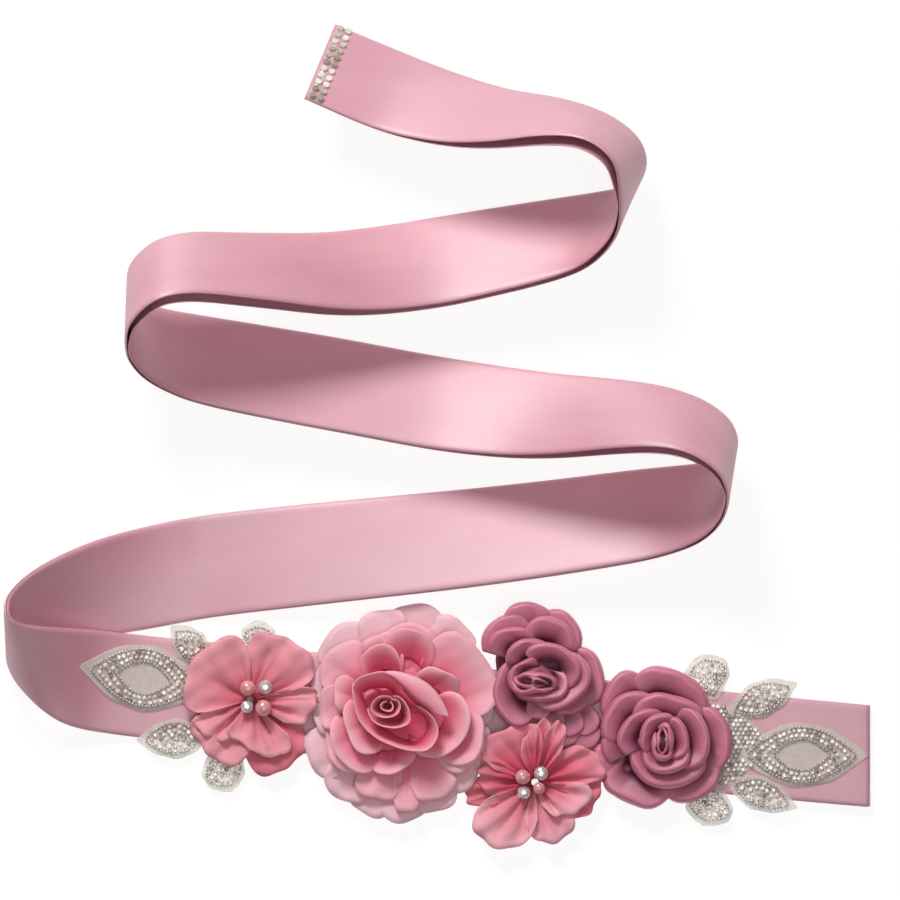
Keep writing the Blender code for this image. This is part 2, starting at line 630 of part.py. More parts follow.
def build():
    clear_scene()
    satin = material("satin_pink", SATIN_PINK, 0.38)
    mauve = material("satin_mauve", SATIN_MAUVE, 0.4)
    chiffon = material("chiffon_pink", CHIFFON_PINK, 0.75)
    coral = material("chiffon_coral", CORAL, 0.7)
    deep_coral = material("chiffon_deep_coral", DEEP_CORAL, 0.7)
    ivory = material("crystal_applique", CRYSTAL_IVORY, 0.3, 0.2)
    silver = material("crystal_trim", CRYSTAL_SILVER, 0.2, 0.6)
    pearl = material("pearl", PEARL_PINK, 0.25)
    clear = material("crystal_bead", CRYSTAL_CLEAR, 0.1)

    frame = ribbon_frame()
    ribbon_plies(frame, satin)
    turned_end(satin)
    tail_trim(frame, silver)
    for row in LEAVES:
        crystal_leaf(frame, row, ivory)
    roses(chiffon, mauve)
    petal_grids = small_flowers((coral, deep_coral))
    for row in BEADS:
        bead(row, petal_grids, (pearl, clear))


build()
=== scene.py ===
import math

import bmesh
import bpy
import numpy as np
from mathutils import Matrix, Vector


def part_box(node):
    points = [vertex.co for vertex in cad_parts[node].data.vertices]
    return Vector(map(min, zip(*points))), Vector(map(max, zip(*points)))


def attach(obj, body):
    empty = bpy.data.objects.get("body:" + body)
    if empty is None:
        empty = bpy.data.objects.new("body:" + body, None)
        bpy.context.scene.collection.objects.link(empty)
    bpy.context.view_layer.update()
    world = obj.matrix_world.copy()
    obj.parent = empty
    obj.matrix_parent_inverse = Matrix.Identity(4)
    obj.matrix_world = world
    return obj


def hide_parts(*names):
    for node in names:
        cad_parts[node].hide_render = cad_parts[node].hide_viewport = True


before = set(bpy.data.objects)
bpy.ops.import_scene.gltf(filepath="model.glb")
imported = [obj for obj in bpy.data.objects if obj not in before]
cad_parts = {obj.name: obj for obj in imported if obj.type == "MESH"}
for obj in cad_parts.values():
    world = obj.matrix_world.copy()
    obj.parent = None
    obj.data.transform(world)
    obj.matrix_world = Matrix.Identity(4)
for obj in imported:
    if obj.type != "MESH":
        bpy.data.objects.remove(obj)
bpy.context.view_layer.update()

# Sash belt: a doubled satin ribbon laid in switchback bends, with cloth flowers, crystal leaves
# and beads along its front and a crystal trim at its tail. Sizes are in millimetres.
MM = 0.001
BODY = "root"
SEED = 11

# The ribbon's sections, as in the part: upper edge between the plies, turn and climb of the
# width in degrees, and how far the plies part at the lower edge
RIBBON_WIDTH = 40.0
PLY_OUT = 1.15
PLY_THICKNESS = 0.34
RIBBON_STEPS = 8
RIBBON_COLUMNS = 25
EDGE_MEET = 0.42
EDGE_ROLL = 1.5
RIBBON_SECTIONS = (
    # edge_x, edge_y, edge_z, swing, rise, splay
    (-40.4, 161.4, 1.4, -22.0, 38.0, 0.0),
    (-15.0, 150.8, 1.6, -22.5, 37.0, 0.0),
    (8.6, 141.6, 4.0, -21.0, 45.0, -1.2),
    (28.2, 135.6, 9.0, -19.0, 57.0, -2.8),
    (47.8, 132.0, 15.5, -18.0, 67.0, -3.6),
    (62.5, 127.3, 19.5, -24.0, 71.0, -3.6),
    (73.0, 121.3, 20.5, -33.0, 70.0, -3.0),
    (79.4, 114.4, 18.0, -37.0, 66.0, -2.0),
    (81.2, 108.0, 13.5, -31.0, 59.0, 0.0),
    (79.2, 101.6, 8.0, -26.0, 54.0, 0.8),
    (73.5, 97.8, 3.8, -22.0, 47.0, 1.6),
    (63.5, 95.8, 1.8, -16.5, 39.0, 2.0),
    (47.8, 93.4, 1.4, -9.5, 36.0, 2.0),
    (24.3, 89.8, 1.4, -1.5, 34.0, 2.0),
    (0.8, 86.0, 2.2, 3.5, 32.0, 2.2),
    (-26.7, 81.6, 6.0, 4.0, 36.0, 2.8),
    (-50.2, 79.4, 12.5, 3.0, 44.0, 3.6),
    (-73.7, 79.4, 21.0, 1.8, 50.0, 3.8),
    (-93.3, 79.8, 27.5, 1.0, 53.0, 3.8),
    (-107.1, 77.6, 29.5, 0.2, 54.0, 3.2),
    (-116.3, 71.6, 27.0, -0.6, 53.0, 2.4),
    (-120.4, 65.3, 21.0, -1.2, 51.0, 1.0),
    (-120.8, 58.8, 14.0, -0.6, 49.5, 0.0),
    (-116.9, 53.4, 7.4, 1.0, 45.0, -0.6),
    (-107.8, 50.0, 3.2, 1.2, 38.5, -0.6),
    (-93.3, 47.4, 1.5, -1.2, 32.0, -0.6),
    (-69.8, 43.6, 1.4, -4.5, 28.5, -0.6),
    (-38.4, 38.4, 1.4, -6.0, 26.0, -0.6),
    (-3.1, 31.8, 2.0, -6.0, 26.0, -0.8),
    (24.3, 27.4, 5.0, -5.2, 30.0, -1.4),
    (47.8, 24.2, 10.0, -4.0, 39.0, -2.4),
    (67.5, 22.4, 17.0, -3.0, 47.0, -2.8),
    (85.1, 20.0, 22.0, -3.6, 53.0, -2.8),
    (99.2, 16.0, 23.8, -7.5, 56.0, -2.4),
    (109.4, 10.4, 22.0, -12.0, 57.0, -1.6),
    (114.9, 4.5, 18.0, -12.5, 57.5, -0.8),
    (116.7, -1.4, 13.5, -10.5, 55.5, 0.0),
    (115.2, -6.3, 8.6, -10.0, 50.5, 0.4),
    (109.4, -9.6, 4.2, -10.0, 41.5, 0.8),
    (100.0, -11.0, 1.8, -9.0, 33.5, 1.0),
    (79.2, -13.0, 1.4, -5.5, 25.0, 1.0),
    (47.8, -16.8, 1.3, -2.6, 21.0, 0.8),
    (8.6, -21.0, 1.15, 0.0, 16.0, 0.4),
    (-26.7, -24.2, 1.15, 2.2, 11.0, 0.0),
    (-62.0, -27.6, 1.15, 4.0, 5.0, 0.0),
    (-93.3, -31.2, 1.8, 5.6, -0.8, 0.0),
    (-113.5, -35.2, 6.8, 6.8, -8.0, 0.0),
    (-131.5, -40.0, 14.5, 7.4, -19.0, 0.0),
    (-146.3, -46.0, 22.0, 7.4, -31.0, 0.0),
    (-158.0, -52.6, 28.0, 7.0, -41.5, 0.0),
    (-165.1, -58.8, 33.5, 5.0, -51.0, 0.0),
    (-168.2, -64.2, 38.5, 2.0, -58.0, 0.0),
    (-168.4, -68.4, 42.0, 0.6, -60.0, 0.0),
    (-166.2, -71.4, 42.5, 1.6, -54.0, 0.0),
    (-161.8, -73.2, 39.5, 3.2, -44.0, 0.0),
    (-155.3, -74.2, 31.5, 3.0, -31.5, 0.0),
    (-146.7, -74.8, 20.5, 1.6, -18.0, 0.0),
    (-132.5, -76.0, 8.0, -1.8, -6.5, 0.0),
    (-112.9, -78.3, 2.2, -4.6, -1.2, 0.0),
    (-89.4, -80.6, 1.15, -5.6, 0.0, 0.0),
    (20.0, -91.1, 1.15, -5.6, 0.0, 0.0),
    (124.0, -101.1, 1.15, -5.6, 0.0, 0.0),
    (141.0, -102.7, 2.45, -4.0, 0.0, 0.0),
    (167.7, -105.2, 2.45, 0.0, 0.0, 0.0),
)
FRONT_ROW = 52
TURN_RADIUS = 1.8
TURN_BACKS = (6.0, 14.0, 22.0)
TURN_STEPS = 10
TURN_INSET = 0.4
TURN_SLOPE = 0.07


# Node trees
def new_look(name):
    """A material with its shader, ready for sockets and links."""
    made = bpy.data.materials.new(name)
    made.use_nodes = True
    return made, made.node_tree, made.node_tree.nodes["Principled BSDF"]


def feed(tree, socket, value):
    """Links a socket to another or sets its value; a colour is given without its alpha."""
    if isinstance(value, bpy.types.NodeSocket):
        tree.links.new(value, socket)
    elif socket.type == "RGBA":
        socket.default_value = (*value, 1.0)
    else:
        socket.default_value = value


def fill(tree, made, **values):
    """Feeds a node's inputs by name, with an underscore for each space in a name."""
    for key, value in values.items():
        feed(tree, made.inputs[key.replace("_", " ")], value)


def node(tree, kind, **values):
    """A new node with its inputs fed by name."""
    made = tree.nodes.new(kind)
    fill(tree, made, **values)
    return made


def stretched(tree, source, scale):
    """Texture coordinates stretched by a scale for each axis."""
    return node(tree, "ShaderNodeMapping", Vector=source, Scale=scale).outputs["Vector"]


def object_place(tree):
    return tree.nodes.new("ShaderNodeTexCoord").outputs["Object"]


def noise(tree, vector, scale, detail=2.0, roughness=0.5):
    made = node(tree, "ShaderNodeTexNoise", Vector=vector, Scale=scale, Detail=detail,
                Roughness=roughness)
    return made.outputs["Fac"]


def ramp(tree, factor, stops):
    """Colours along a factor: stops as (place, colour)."""
    made = tree.nodes.new("ShaderNodeValToRGB")
    tree.links.new(factor, made.inputs["Fac"])
    elements = made.color_ramp.elements
    while len(elements) < len(stops):
        elements.new(0.5)
    for element, (place, colour) in zip(elements, stops):
        element.position = place
        element.color = (*colour, 1.0)
    return made.outputs["Color"]


def blended(tree, factor, first, second, kind="MIX"):
    """Two colours mixed by a factor."""
    made = tree.nodes.new("ShaderNodeMix")
    made.data_type = "RGBA"
    made.blend_type = kind
    colours = [socket for socket in made.inputs if socket.type == "RGBA"]
    for socket, value in zip((made.inputs["Factor"], *colours), (factor, first, second)):
        feed(tree, socket, value)
    return next(socket for socket in made.outputs if socket.type == "RGBA")


def bump(tree, shader, height, strength, distance):
    made = node(tree, "ShaderNodeBump", Height=height, Strength=strength, Distance=distance)
    tree.links.new(made.outputs["Normal"], shader.inputs["Normal"])


def scaled(tree, first, second, operation="MULTIPLY"):
    made = tree.nodes.new("ShaderNodeMath")
    made.operation = operation
    feed(tree, made.inputs[0], first)
    feed(tree, made.inputs[1], second)
    return made.outputs["Value"]


def coordinates(tree, layer):
    """A surface's own coordinates: Cloth in metres of cloth, Share from foot to rim."""
    uv = tree.nodes.new("ShaderNodeUVMap")
    uv.uv_map = layer
    return uv.outputs["UV"]


def climb_share(tree):
    """How far up a petal a place is, from 0 at its foot to 1 at its rim."""
    parts = node(tree, "ShaderNodeSeparateXYZ", Vector=coordinates(tree, "Share"))
    return parts.outputs["Y"]


def grey(value):
    return (value, value, value)


def satin_look(name, colour, deep, roughness, gloss, foot=None):
    """Satin: long floats of dyed thread that glint along the cloth and a soft uneven dye, with painted
    shade darkening a petal towards its foot where a foot colour is given.
    """
    made, tree, shader = new_look(name)
    cloth = coordinates(tree, "Cloth")
    dye = noise(tree, stretched(tree, cloth, (60.0, 22.0, 1.0)), 1.0, 3.0)
    tone = ramp(tree, dye, ((0.3, deep), (0.72, colour)))
    # Painted shade: the foot colour, near black, darkens each petal from part way up down to its foot,
    # where the shade between petals falls.
    if foot:
        inside = ramp(tree, climb_share(tree), ((0.2, grey(1.0)), (0.85, grey(0.0))))
        tone = blended(tree, inside, tone, foot)
    threads = noise(tree, stretched(tree, cloth, (5200.0, 260.0, 1.0)), 1.0, 2.0)
    slubs = ramp(tree, threads, ((0.25, grey(0.9)), (0.75, grey(1.0))))
    rough = ramp(tree, threads, ((0.2, grey(roughness + 0.06)), (0.8, grey(roughness - 0.04))))
    weft = noise(tree, stretched(tree, cloth, (300.0, 3800.0, 1.0)), 1.0)
    bump(tree, shader, scaled(tree, threads, weft, "ADD"), 0.25, 0.00012)
    tangent = tree.nodes.new("ShaderNodeTangent")
    tangent.direction_type = "UV_MAP"
    tangent.uv_map = "Cloth"
    fill(tree, shader, Base_Color=blended(tree, 0.5, tone, slubs, "MULTIPLY"), Roughness=rough,
         Tangent=tangent.outputs["Tangent"], Anisotropic=0.55, Specular_IOR_Level=gloss,
         IOR=1.85, Sheen_Weight=0.12, Sheen_Roughness=0.4, Sheen_Tint=(1.0, 0.8, 0.86))
    return made


def chiffon_look(name, root, middle, rim, alpha):
    """Chiffon with painted shade deepening it at a petal's root and painted light paling it to its rim,
    with a fine crinkled weave.
    """
    made, tree, shader = new_look(name)
    place = object_place(tree)
    cloudy = noise(tree, place, 90.0, 3.0)
    shift = scaled(tree, scaled(tree, cloudy, 0.5, "SUBTRACT"), 0.28)
    # Painted shade and light: the colour runs from dark at the root, where the petals shade each other,
    # to pale at the rim, where light shines through.
    tone = ramp(tree, scaled(tree, climb_share(tree), shift, "ADD"),
                ((0.0, root), (0.5, middle), (0.9, rim)))
    grain = noise(tree, place, 3400.0, 2.0)
    speckle = ramp(tree, grain, ((0.3, (0.94, 0.93, 0.93)), (0.7, grey(1.0))))
    crinkle = noise(tree, stretched(tree, place, (1.0, 1.6, 1.0)), 420.0, 4.0, 0.6)
    bump(tree, shader, scaled(tree, crinkle, scaled(tree, grain, 0.35), "ADD"), 0.22, 0.0004)
    fill(tree, shader, Base_Color=blended(tree, 0.6, tone, speckle, "MULTIPLY"), Roughness=0.7,
         Specular_IOR_Level=0.25, Sheen_Weight=0.2, Sheen_Roughness=0.35,
         Sheen_Tint=(1.0, 0.86, 0.88), Alpha=alpha)
    return made


def organza_look():
    """Sheer ivory organza with its open weave."""
    made, tree, shader = new_look("organza_ivory")
    place = object_place(tree)
    warp = noise(tree, stretched(tree, place, (2600.0, 180.0, 1.0)), 1.0)
    weft = noise(tree, stretched(tree, place, (180.0, 2600.0, 1.0)), 1.0)
    weave = scaled(tree, scaled(tree, warp, weft, "ADD"), 0.5)
    tone = ramp(tree, weave, ((0.35, (0.74, 0.68, 0.61)), (0.65, (0.93, 0.88, 0.82))))
    bump(tree, shader, weave, 0.3, 0.0001)
    fill(tree, shader, Base_Color=tone, Roughness=0.5, Sheen_Weight=0.3, Alpha=0.48)
    return made


def stone_look(name, dark, light, roughness):
    """Foiled crystal: each stone's colour is painted brighter or darker at random, as painted glints
    from its mirrored back.
    """
    made, tree, shader = new_look(name)
    island = tree.nodes.new("ShaderNodeNewGeometry").outputs["Random Per Island"]
    depth = noise(tree, object_place(tree), 900.0, 2.0)
    # Painted glints: a random brightness for each stone, with a little noise, stands in for the light
    # that its foil throws back.
    mixed = scaled(tree, scaled(tree, island, 0.65), scaled(tree, depth, 0.35), "ADD")
    bump(tree, shader, depth, 0.05, 0.0001)
    fill(tree, shader, Base_Color=ramp(tree, mixed, ((0.2, dark), (0.65, light))),
         Metallic=0.15, Roughness=roughness, Coat_Weight=0.6, Coat_Roughness=0.04)
    return made


def silver_look():
    """Worn silver, duller where it is darker."""
    made, tree, shader = new_look("silver_settings")
    wear = noise(tree, object_place(tree), 700.0, 3.0)
    tone = ramp(tree, wear, ((0.3, (0.5, 0.45, 0.4)), (0.75, (0.9, 0.86, 0.8))))
    rough = ramp(tree, wear, ((0.3, grey(0.36)), (0.8, grey(0.2))))
    bump(tree, shader, wear, 0.1, 0.0001)
    fill(tree, shader, Base_Color=tone, Roughness=rough, Metallic=0.6)
    return made


def pearl_look():
    """Imitation pearl: a pink lacquer with a soft drift of tone under a clear coat."""
    made, tree, shader = new_look("pearl_pink")
    place = object_place(tree)
    drift = noise(tree, place, 260.0, 2.0)
    tone = ramp(tree, drift, ((0.3, (0.72, 0.27, 0.3)), (0.75, (0.9, 0.46, 0.46))))
    bump(tree, shader, noise(tree, place, 1500.0), 0.04, 0.0001)
    fill(tree, shader, Base_Color=tone, Roughness=0.22, Coat_Weight=0.8, Coat_Roughness=0.06,
         Metallic=0.15)
    return made


def crystal_look():
    """Clear cut crystal with faint cloudiness."""
    made, tree, shader = new_look("crystal_clear")
    cloud = noise(tree, object_place(tree), 500.0, 2.0)
    tone = ramp(tree, cloud, ((0.3, (0.82, 0.8, 0.78)), (0.7, (0.98, 0.97, 0.96))))
    bump(tree, shader, cloud, 0.03, 0.0001)
    fill(tree, shader, Base_Color=tone, Roughness=0.04, Transmission_Weight=0.55, IOR=1.62,
         Metallic=0.25)
    return made


def floor_look():
    """A matt grey floor whose glow makes it pale, so that shadows on it stay soft."""
    made, tree, shader = new_look("pale_floor")
    soft = noise(tree, object_place(tree), 3.0, 1.0)
    fill(tree, shader, Base_Color=ramp(tree, soft, ((0.3, grey(0.17)), (0.7, grey(0.19)))),
         Roughness=0.95, Specular_IOR_Level=0.05, Emission_Color=grey(1.0),
         Emission_Strength=0.87)
    return made


# Meshes
def grid_faces(rows, columns):
    """Faces of a closed thin sheet: its upper grid first, then its lower grid."""
    def at(row, column, side):
        return (side * rows + row) * columns + column

    faces = []
    for row in range(rows - 1):
        for column in range(columns - 1):
            near = ((row, column), (row, column + 1), (row + 1, column + 1), (row + 1, column))
            faces.append([at(r, c, 0) for r, c in near])
            faces.append([at(r, c, 1) for r, c in reversed(near)])
    for row in range(rows - 1):
        for column, way in ((0, 1), (columns - 1, -1)):
            faces.append([at(row, column, 0), at(row + 1, column, 0),
                          at(row + 1, column, 1), at(row, column, 1)][::way])
    for column in range(columns - 1):
        for row, way in ((0, -1), (rows - 1, 1)):
            faces.append([at(row, column, 0), at(row, column + 1, 0),
                          at(row, column + 1, 1), at(row, column, 1)][::way])
    return faces


def grid_normals(points):
    """Unit normals of a grid of points, on the side where columns cross rows."""
    down = np.gradient(points, axis=0)
    along = np.gradient(points, axis=1)
    normal = np.cross(down, along)
    size = np.linalg.norm(normal, axis=2, keepdims=True)
    return normal / np.maximum(size, 1e-9)


def add_mesh(name, points, faces, look, layers=None, smooth=True):
    """A mesh from points in millimetres, its faces turned outwards, with its coordinates."""
    mesh = bpy.data.meshes.new(name)
    mesh.from_pydata([tuple(float(c) * MM for c in p) for p in points], [], faces)
    index = np.zeros(len(mesh.loops), dtype=int)
    mesh.loops.foreach_get("vertex_index", index)
    for layer_name, values in (layers or {}).items():
        layer = mesh.uv_layers.new(name=layer_name)
        layer.data.foreach_set("uv", np.asarray(values, dtype=float)[index].ravel())
    mesh.validate()
    shape = bmesh.new()
    shape.from_mesh(mesh)
    bmesh.ops.recalc_face_normals(shape, faces=shape.faces)
    shape.to_mesh(mesh)
    shape.free()
    mesh.materials.append(look)
    if smooth:
        mesh.shade_smooth()
    made = bpy.data.objects.new(name, mesh)
    bpy.context.scene.collection.objects.link(made)
    return made


def add_sheet(name, upper, lower, look, layers):
    """A closed thin sheet between two grids of points, with the same coordinates on both."""
    rows, columns = upper.shape[:2]
    points = np.concatenate([upper.reshape(-1, 3), lower.reshape(-1, 3)])
    both = {layer: np.concatenate([values, values]) for layer, values in layers.items()}
    return add_mesh(name, points, grid_faces(rows, columns), look, both)


def flat_width(points):
    """Greatest width of a sheet laid flat, in metres, measured square to its columns.

    The path along an arched rim would also count the arch, which the cut's width doesn't have.
    """
    down = np.gradient(points, axis=0)
    down /= np.maximum(np.linalg.norm(down, axis=2, keepdims=True), 1e-9)
    across = np.cross(np.diff(points, axis=1), (down[:, 1:] + down[:, :-1]) / 2)
    return float(np.linalg.norm(across, axis=2).sum(axis=1).max()) * MM


def declare_sheet(points):
    """Works out the greatest width of a piece laid flat; the result is not kept."""
    flat_width(points)


def settle(piece, slot, *nodes):
    """Puts a piece on the belt's one body and hides the solids that it stands for; its slot is not
    used.
    """
    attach(piece, BODY)
    if nodes:
        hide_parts(*nodes)
    return piece


def smooth_step(values):
    clipped = np.clip(values, 0.0, 1.0)
    return clipped * clipped * (3 - 2 * clipped)


# The ribbon
def monotone_slopes(values, steps):
    """Slopes at table rows that never overshoot between them."""
    rates = np.diff(values, axis=0) / steps[:, None]
    slopes = np.zeros_like(values)
    slopes[0], slopes[-1] = rates[0], rates[-1]
    before, after = steps[:-1, None], steps[1:, None]
    weight_1, weight_2 = 2 * after + before, after + 2 * before
    same_way = rates[:-1] * rates[1:] > 0
    safe_1 = np.where(same_way, rates[:-1], 1.0)
    safe_2 = np.where(same_way, rates[1:], 1.0)
    blend = (weight_1 + weight_2) / (weight_1 / safe_1 + weight_2 / safe_2)
    slopes[1:-1] = np.where(same_way, blend, 0.0)
    return slopes


def smooth_rows(rows, count):
    """The table's rows with count steps from each to the next, on smooth curves through them."""
    table = np.array(rows, dtype=float)
    steps = np.linalg.norm(np.diff(table[:, :3], axis=0), axis=1)
    slopes = monotone_slopes(table, steps)
    stations = []
    for row, step in enumerate(steps):
        for share in np.arange(count) / count:
            square, cube = share ** 2, share ** 3
            stations.append(table[row] * (2 * cube - 3 * square + 1)
                            + slopes[row] * step * (cube - 2 * square + share)
                            + table[row + 1] * (3 * square - 2 * cube)
                            + slopes[row + 1] * step * (cube - square))
    stations.append(table[-1])
    return np.array(stations)


def softened(values, passes):
    """Values evened out along the ribbon, their ends kept."""
    for _ in range(passes):
        values[1:-1] = (values[:-2] + 2 * values[1:-1] + values[2:]) / 4
    return values


def ribbon_frame():
    """Edge points, width directions, run directions, normals and splay along the ribbon."""
    rows = softened(smooth_rows(RIBBON_SECTIONS, RIBBON_STEPS), 6)
    edge = rows[:, :3]
    swing, rise = np.radians(rows[:, 3]), np.radians(rows[:, 4])
    across = np.stack([np.sin(swing) * np.cos(rise), -np.cos(swing) * np.cos(rise),
                       np.sin(rise)], axis=1)
    lower_edge_drop = RIBBON_WIDTH * np.maximum(0.0, -across[:, 2])
    edge[:, 2] = np.maximum(edge[:, 2], PLY_OUT + lower_edge_drop)
    run = np.gradient(edge + across * RIBBON_WIDTH / 2, axis=0)
    run /= np.linalg.norm(run, axis=1)[:, None]
    normal = np.cross(across, run)
    normal /= np.linalg.norm(normal, axis=1)[:, None]
    middle = edge + across * RIBBON_WIDTH / 2
    steps = np.linalg.norm(np.diff(middle, axis=0), axis=1)
    length = np.concatenate([[0.0], np.cumsum(steps)])
    return {"edge": edge, "across": across, "run": run, "normal": normal, "splay": rows[:, 5],
            "length": length}


def ply_surface(ribbon, side, depth):
    """One face of a ply: out at its solid's face, drawn in to the other ply at its edges."""
    shares = (1 - np.cos(np.linspace(0.0, math.pi, RIBBON_COLUMNS))) / 2
    shares = 0.5 * shares + 0.5 * np.linspace(0.0, 1.0, RIBBON_COLUMNS)
    from_edge = np.minimum(shares, 1 - shares) * RIBBON_WIDTH
    out = EDGE_MEET + (PLY_OUT - EDGE_MEET) * smooth_step(from_edge / EDGE_ROLL + 0.1)
    parted = np.where(ribbon["splay"] * side > 0, ribbon["splay"], 0.0)
    offset = side * (out - depth)[None, :] + parted[:, None] * (shares ** 2)[None, :]
    points = (ribbon["edge"][:, None, :]
              + ribbon["across"][:, None, :] * (RIBBON_WIDTH * shares)[None, :, None]
              + ribbon["normal"][:, None, :] * offset[:, :, None])
    return points, shares


def add_ply(name, ribbon, side, look):
    """A whole ply as one long closed sheet."""
    far, shares = ply_surface(ribbon, side, 0.0)
    near, _ = ply_surface(ribbon, side, PLY_THICKNESS)
    if side > 0:
        far = np.concatenate([far, turned_rows(far[-1], 0.0)])
        near = np.concatenate([near, turned_rows(near[-1], PLY_THICKNESS)])
    centre = far[:, far.shape[1] // 2]
    length = np.concatenate([[0.0], np.cumsum(np.linalg.norm(np.diff(centre, axis=0), axis=1))])
    cloth = np.stack(np.broadcast_arrays(shares[None, :] * RIBBON_WIDTH * MM,
                                         length[:, None] * MM), axis=-1).reshape(-1, 2)
    return add_sheet(name, far, near, look, {"Cloth": cloth}), far


def turned_rows(last, depth):
    """The end of the outer ply, rolled under in a half round and run back along the table."""
    rows = []
    radius = TURN_RADIUS - depth
    drawn_in = np.linspace(-TURN_INSET, TURN_INSET, RIBBON_COLUMNS)
    for step in range(1, TURN_STEPS + 1):
        angle = math.pi / 2 - math.pi * step / TURN_STEPS
        row = last.copy()
        row[:, 0] += radius * math.cos(angle)
        row[:, 1] += drawn_in * step / TURN_STEPS
        row[:, 2] = last[:, 2] - radius * (1 - math.sin(angle))
        rows.append(row)
    for back in TURN_BACKS:
        row = last.copy()
        row[:, 0] -= back
        row[:, 1] += drawn_in + back * TURN_SLOPE
        row[:, 2] = last[:, 2] - 2 * radius
        rows.append(row)
    for row in rows:
        row[:, 2] = np.maximum(row[:, 2], depth + 0.05)
    return np.array(rows)


def stretches_of(ply):
    return sorted(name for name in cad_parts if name.startswith(f"{ply}_"))


def make_ribbon(look):
    ribbon = ribbon_frame()
    outer, outer_face = add_ply("ribbon_outer", ribbon, 1, look)
    settle(outer, "satin_pink", "ribbon_turned_end", *stretches_of("ribbon_outer"))
    inner, inner_face = add_ply("ribbon_inner", ribbon, -1, look)
    settle(inner, "satin_pink", *stretches_of("ribbon_inner"))
    declare_sheet(outer_face)
    declare_sheet(inner_face)
    return ribbon


# Petals. A petal is drawn by its rim as seen from above: a short row of places, each a bearing
# from its flower's heart in degrees and a reach. Its wall climbs to the rim from a foot that lies
# a set depth inside it, and a satin rim then rolls outwards and down.
PETAL_COLUMNS = 37
WALL_ROWS = 13
LIP_ROWS = 8
LIP_SPREAD = 1.6
SIDE_WAVE = 0.6
ROLL_THINNING = 0.55
ROLL_WAVER = 0.12
BASE_THICKNESS = 0.4
RING_THICKNESS = 0.24
CUP_THICKNESS = 0.26
HEART_THICKNESS = 0.3
SATIN_THICKNESS = 0.5


def smooth_curve(points, count):
    """A smooth line through a short row of points."""
    table = np.array(points, dtype=float)
    padded = np.concatenate([[2 * table[0] - table[1]], table, [2 * table[-1] - table[-2]]])
    place = np.linspace(0.0, len(table) - 1, count)
    index = np.minimum(place.astype(int), len(table) - 2)
    t = (place - index)[:, None]
    p0, p1, p2, p3 = (padded[index + step] for step in range(4))
    return 0.5 * (2 * p1 + (p2 - p0) * t + (2 * p0 - 5 * p1 + 4 * p2 - p3) * t ** 2
                  + (3 * p1 - p0 - 3 * p2 + p3) * t ** 3)


def petal_style(**changes):
    """How a petal's wall is shaped between its foot and its rim, in millimetres and shares."""
    style = {"depth": 99.0, "foot": 1.6, "fall": 0.2, "droop": 1.0,
             "tilt": 0.0, "bow": 1.0, "flare": 0.0, "lip": 0.0, "lip_turn": 150.0,
             "wave": 0.0, "waves": 1.5, "phase": 0.0, "crumple": 0.0, "round_power": 5,
             "creases": ()}
    style.update(changes)
    return style


def rolled_rim(radius, height, size, turn):
    """Rows past a wall's last row that roll its rim outwards and down."""
    slope_r, slope_z = radius[-1] - radius[-2], height[-1] - height[-2]
    length = np.hypot(slope_r, slope_z)
    slope_r, slope_z = slope_r / length, slope_z / length
    turns = np.radians(turn) * np.linspace(0.0, 1.0, LIP_ROWS + 1)[1:, None]
    over, on = LIP_SPREAD * size * (1 - np.cos(turns)), size * np.sin(turns)
    return (np.concatenate([radius, radius[-1] + over * slope_z + on * slope_r]),
            np.concatenate([height, height[-1] - over * slope_r + on * slope_z]))


def on_plan(centre, radius, bearing, height):
    """A grid of points around a flower's centre."""
    return np.stack([centre[0] + radius * np.cos(bearing), centre[1] + radius * np.sin(bearing),
                     height], axis=2)


def creased(height, climb, share, creases):
    """A wall's height with its creases pressed in, deepest part way up."""
    for place, depth, width in creases:
        trough = np.exp(-((share - place) / width) ** 2)
        height = height - depth * trough * np.sin(math.pi * np.clip(climb * 0.8 + 0.12, 0, 1))
    return height


def crumples(radius, bearing, phase):
    """Small uneven hills over a petal's plan, between -2 and 2."""
    x, y = radius * np.cos(bearing), radius * np.sin(bearing)
    return np.sin(0.62 * x + 0.4 * y + phase) + np.sin(0.75 * y - 0.46 * x + 2 * phase)


def petal_surface(centre, rim, low, high, style):
    """The upper face of a petal as a grid, rows from foot to rim, columns along the rim."""
    share = np.linspace(0.0, 1.0, PETAL_COLUMNS)
    climb = np.linspace(0.0, 1.0, WALL_ROWS)[:, None]
    off = np.abs(2 * share - 1)
    swing = math.tau * style["waves"] * share + style["phase"]
    bearing, reach = smooth_curve(rim if rim[0][0] < rim[-1][0] else rim[::-1], PETAL_COLUMNS).T
    bearing = np.radians(bearing)
    foot = np.maximum(style["foot"], reach - style["depth"])
    outer = foot + (reach - foot) * (1 - style["fall"] * off ** style["round_power"])
    top = high - style["droop"] * off ** 3 + style["tilt"] * (share - 0.5)
    rise = (1 - style["flare"]) * climb ** style["bow"] + style["flare"] * smooth_step(climb)
    radius = foot + (outer - foot) * climb
    radius = radius + SIDE_WAVE * style["wave"] * np.cos(swing * 1.3) * climb ** 2
    height = low + (top - low) * rise + style["wave"] * np.sin(swing) * climb ** 2
    height = creased(height, climb, share, style["creases"])
    if style["lip"]:
        roll = (style["lip"] * (1 - ROLL_THINNING * off ** 4)
                * (1 + ROLL_WAVER * np.sin(swing * 1.7)))
        radius, height = rolled_rim(radius, height, roll, style["lip_turn"])
        climb = np.concatenate([climb, np.ones((LIP_ROWS, 1))])
        radius = radius + (outer - radius.max(axis=0)) * climb
        height = height + (top - height.max(axis=0)) * climb
    height = height + style["crumple"] * crumples(radius, bearing, style["phase"]) * climb
    return on_plan(centre, radius, bearing, height)


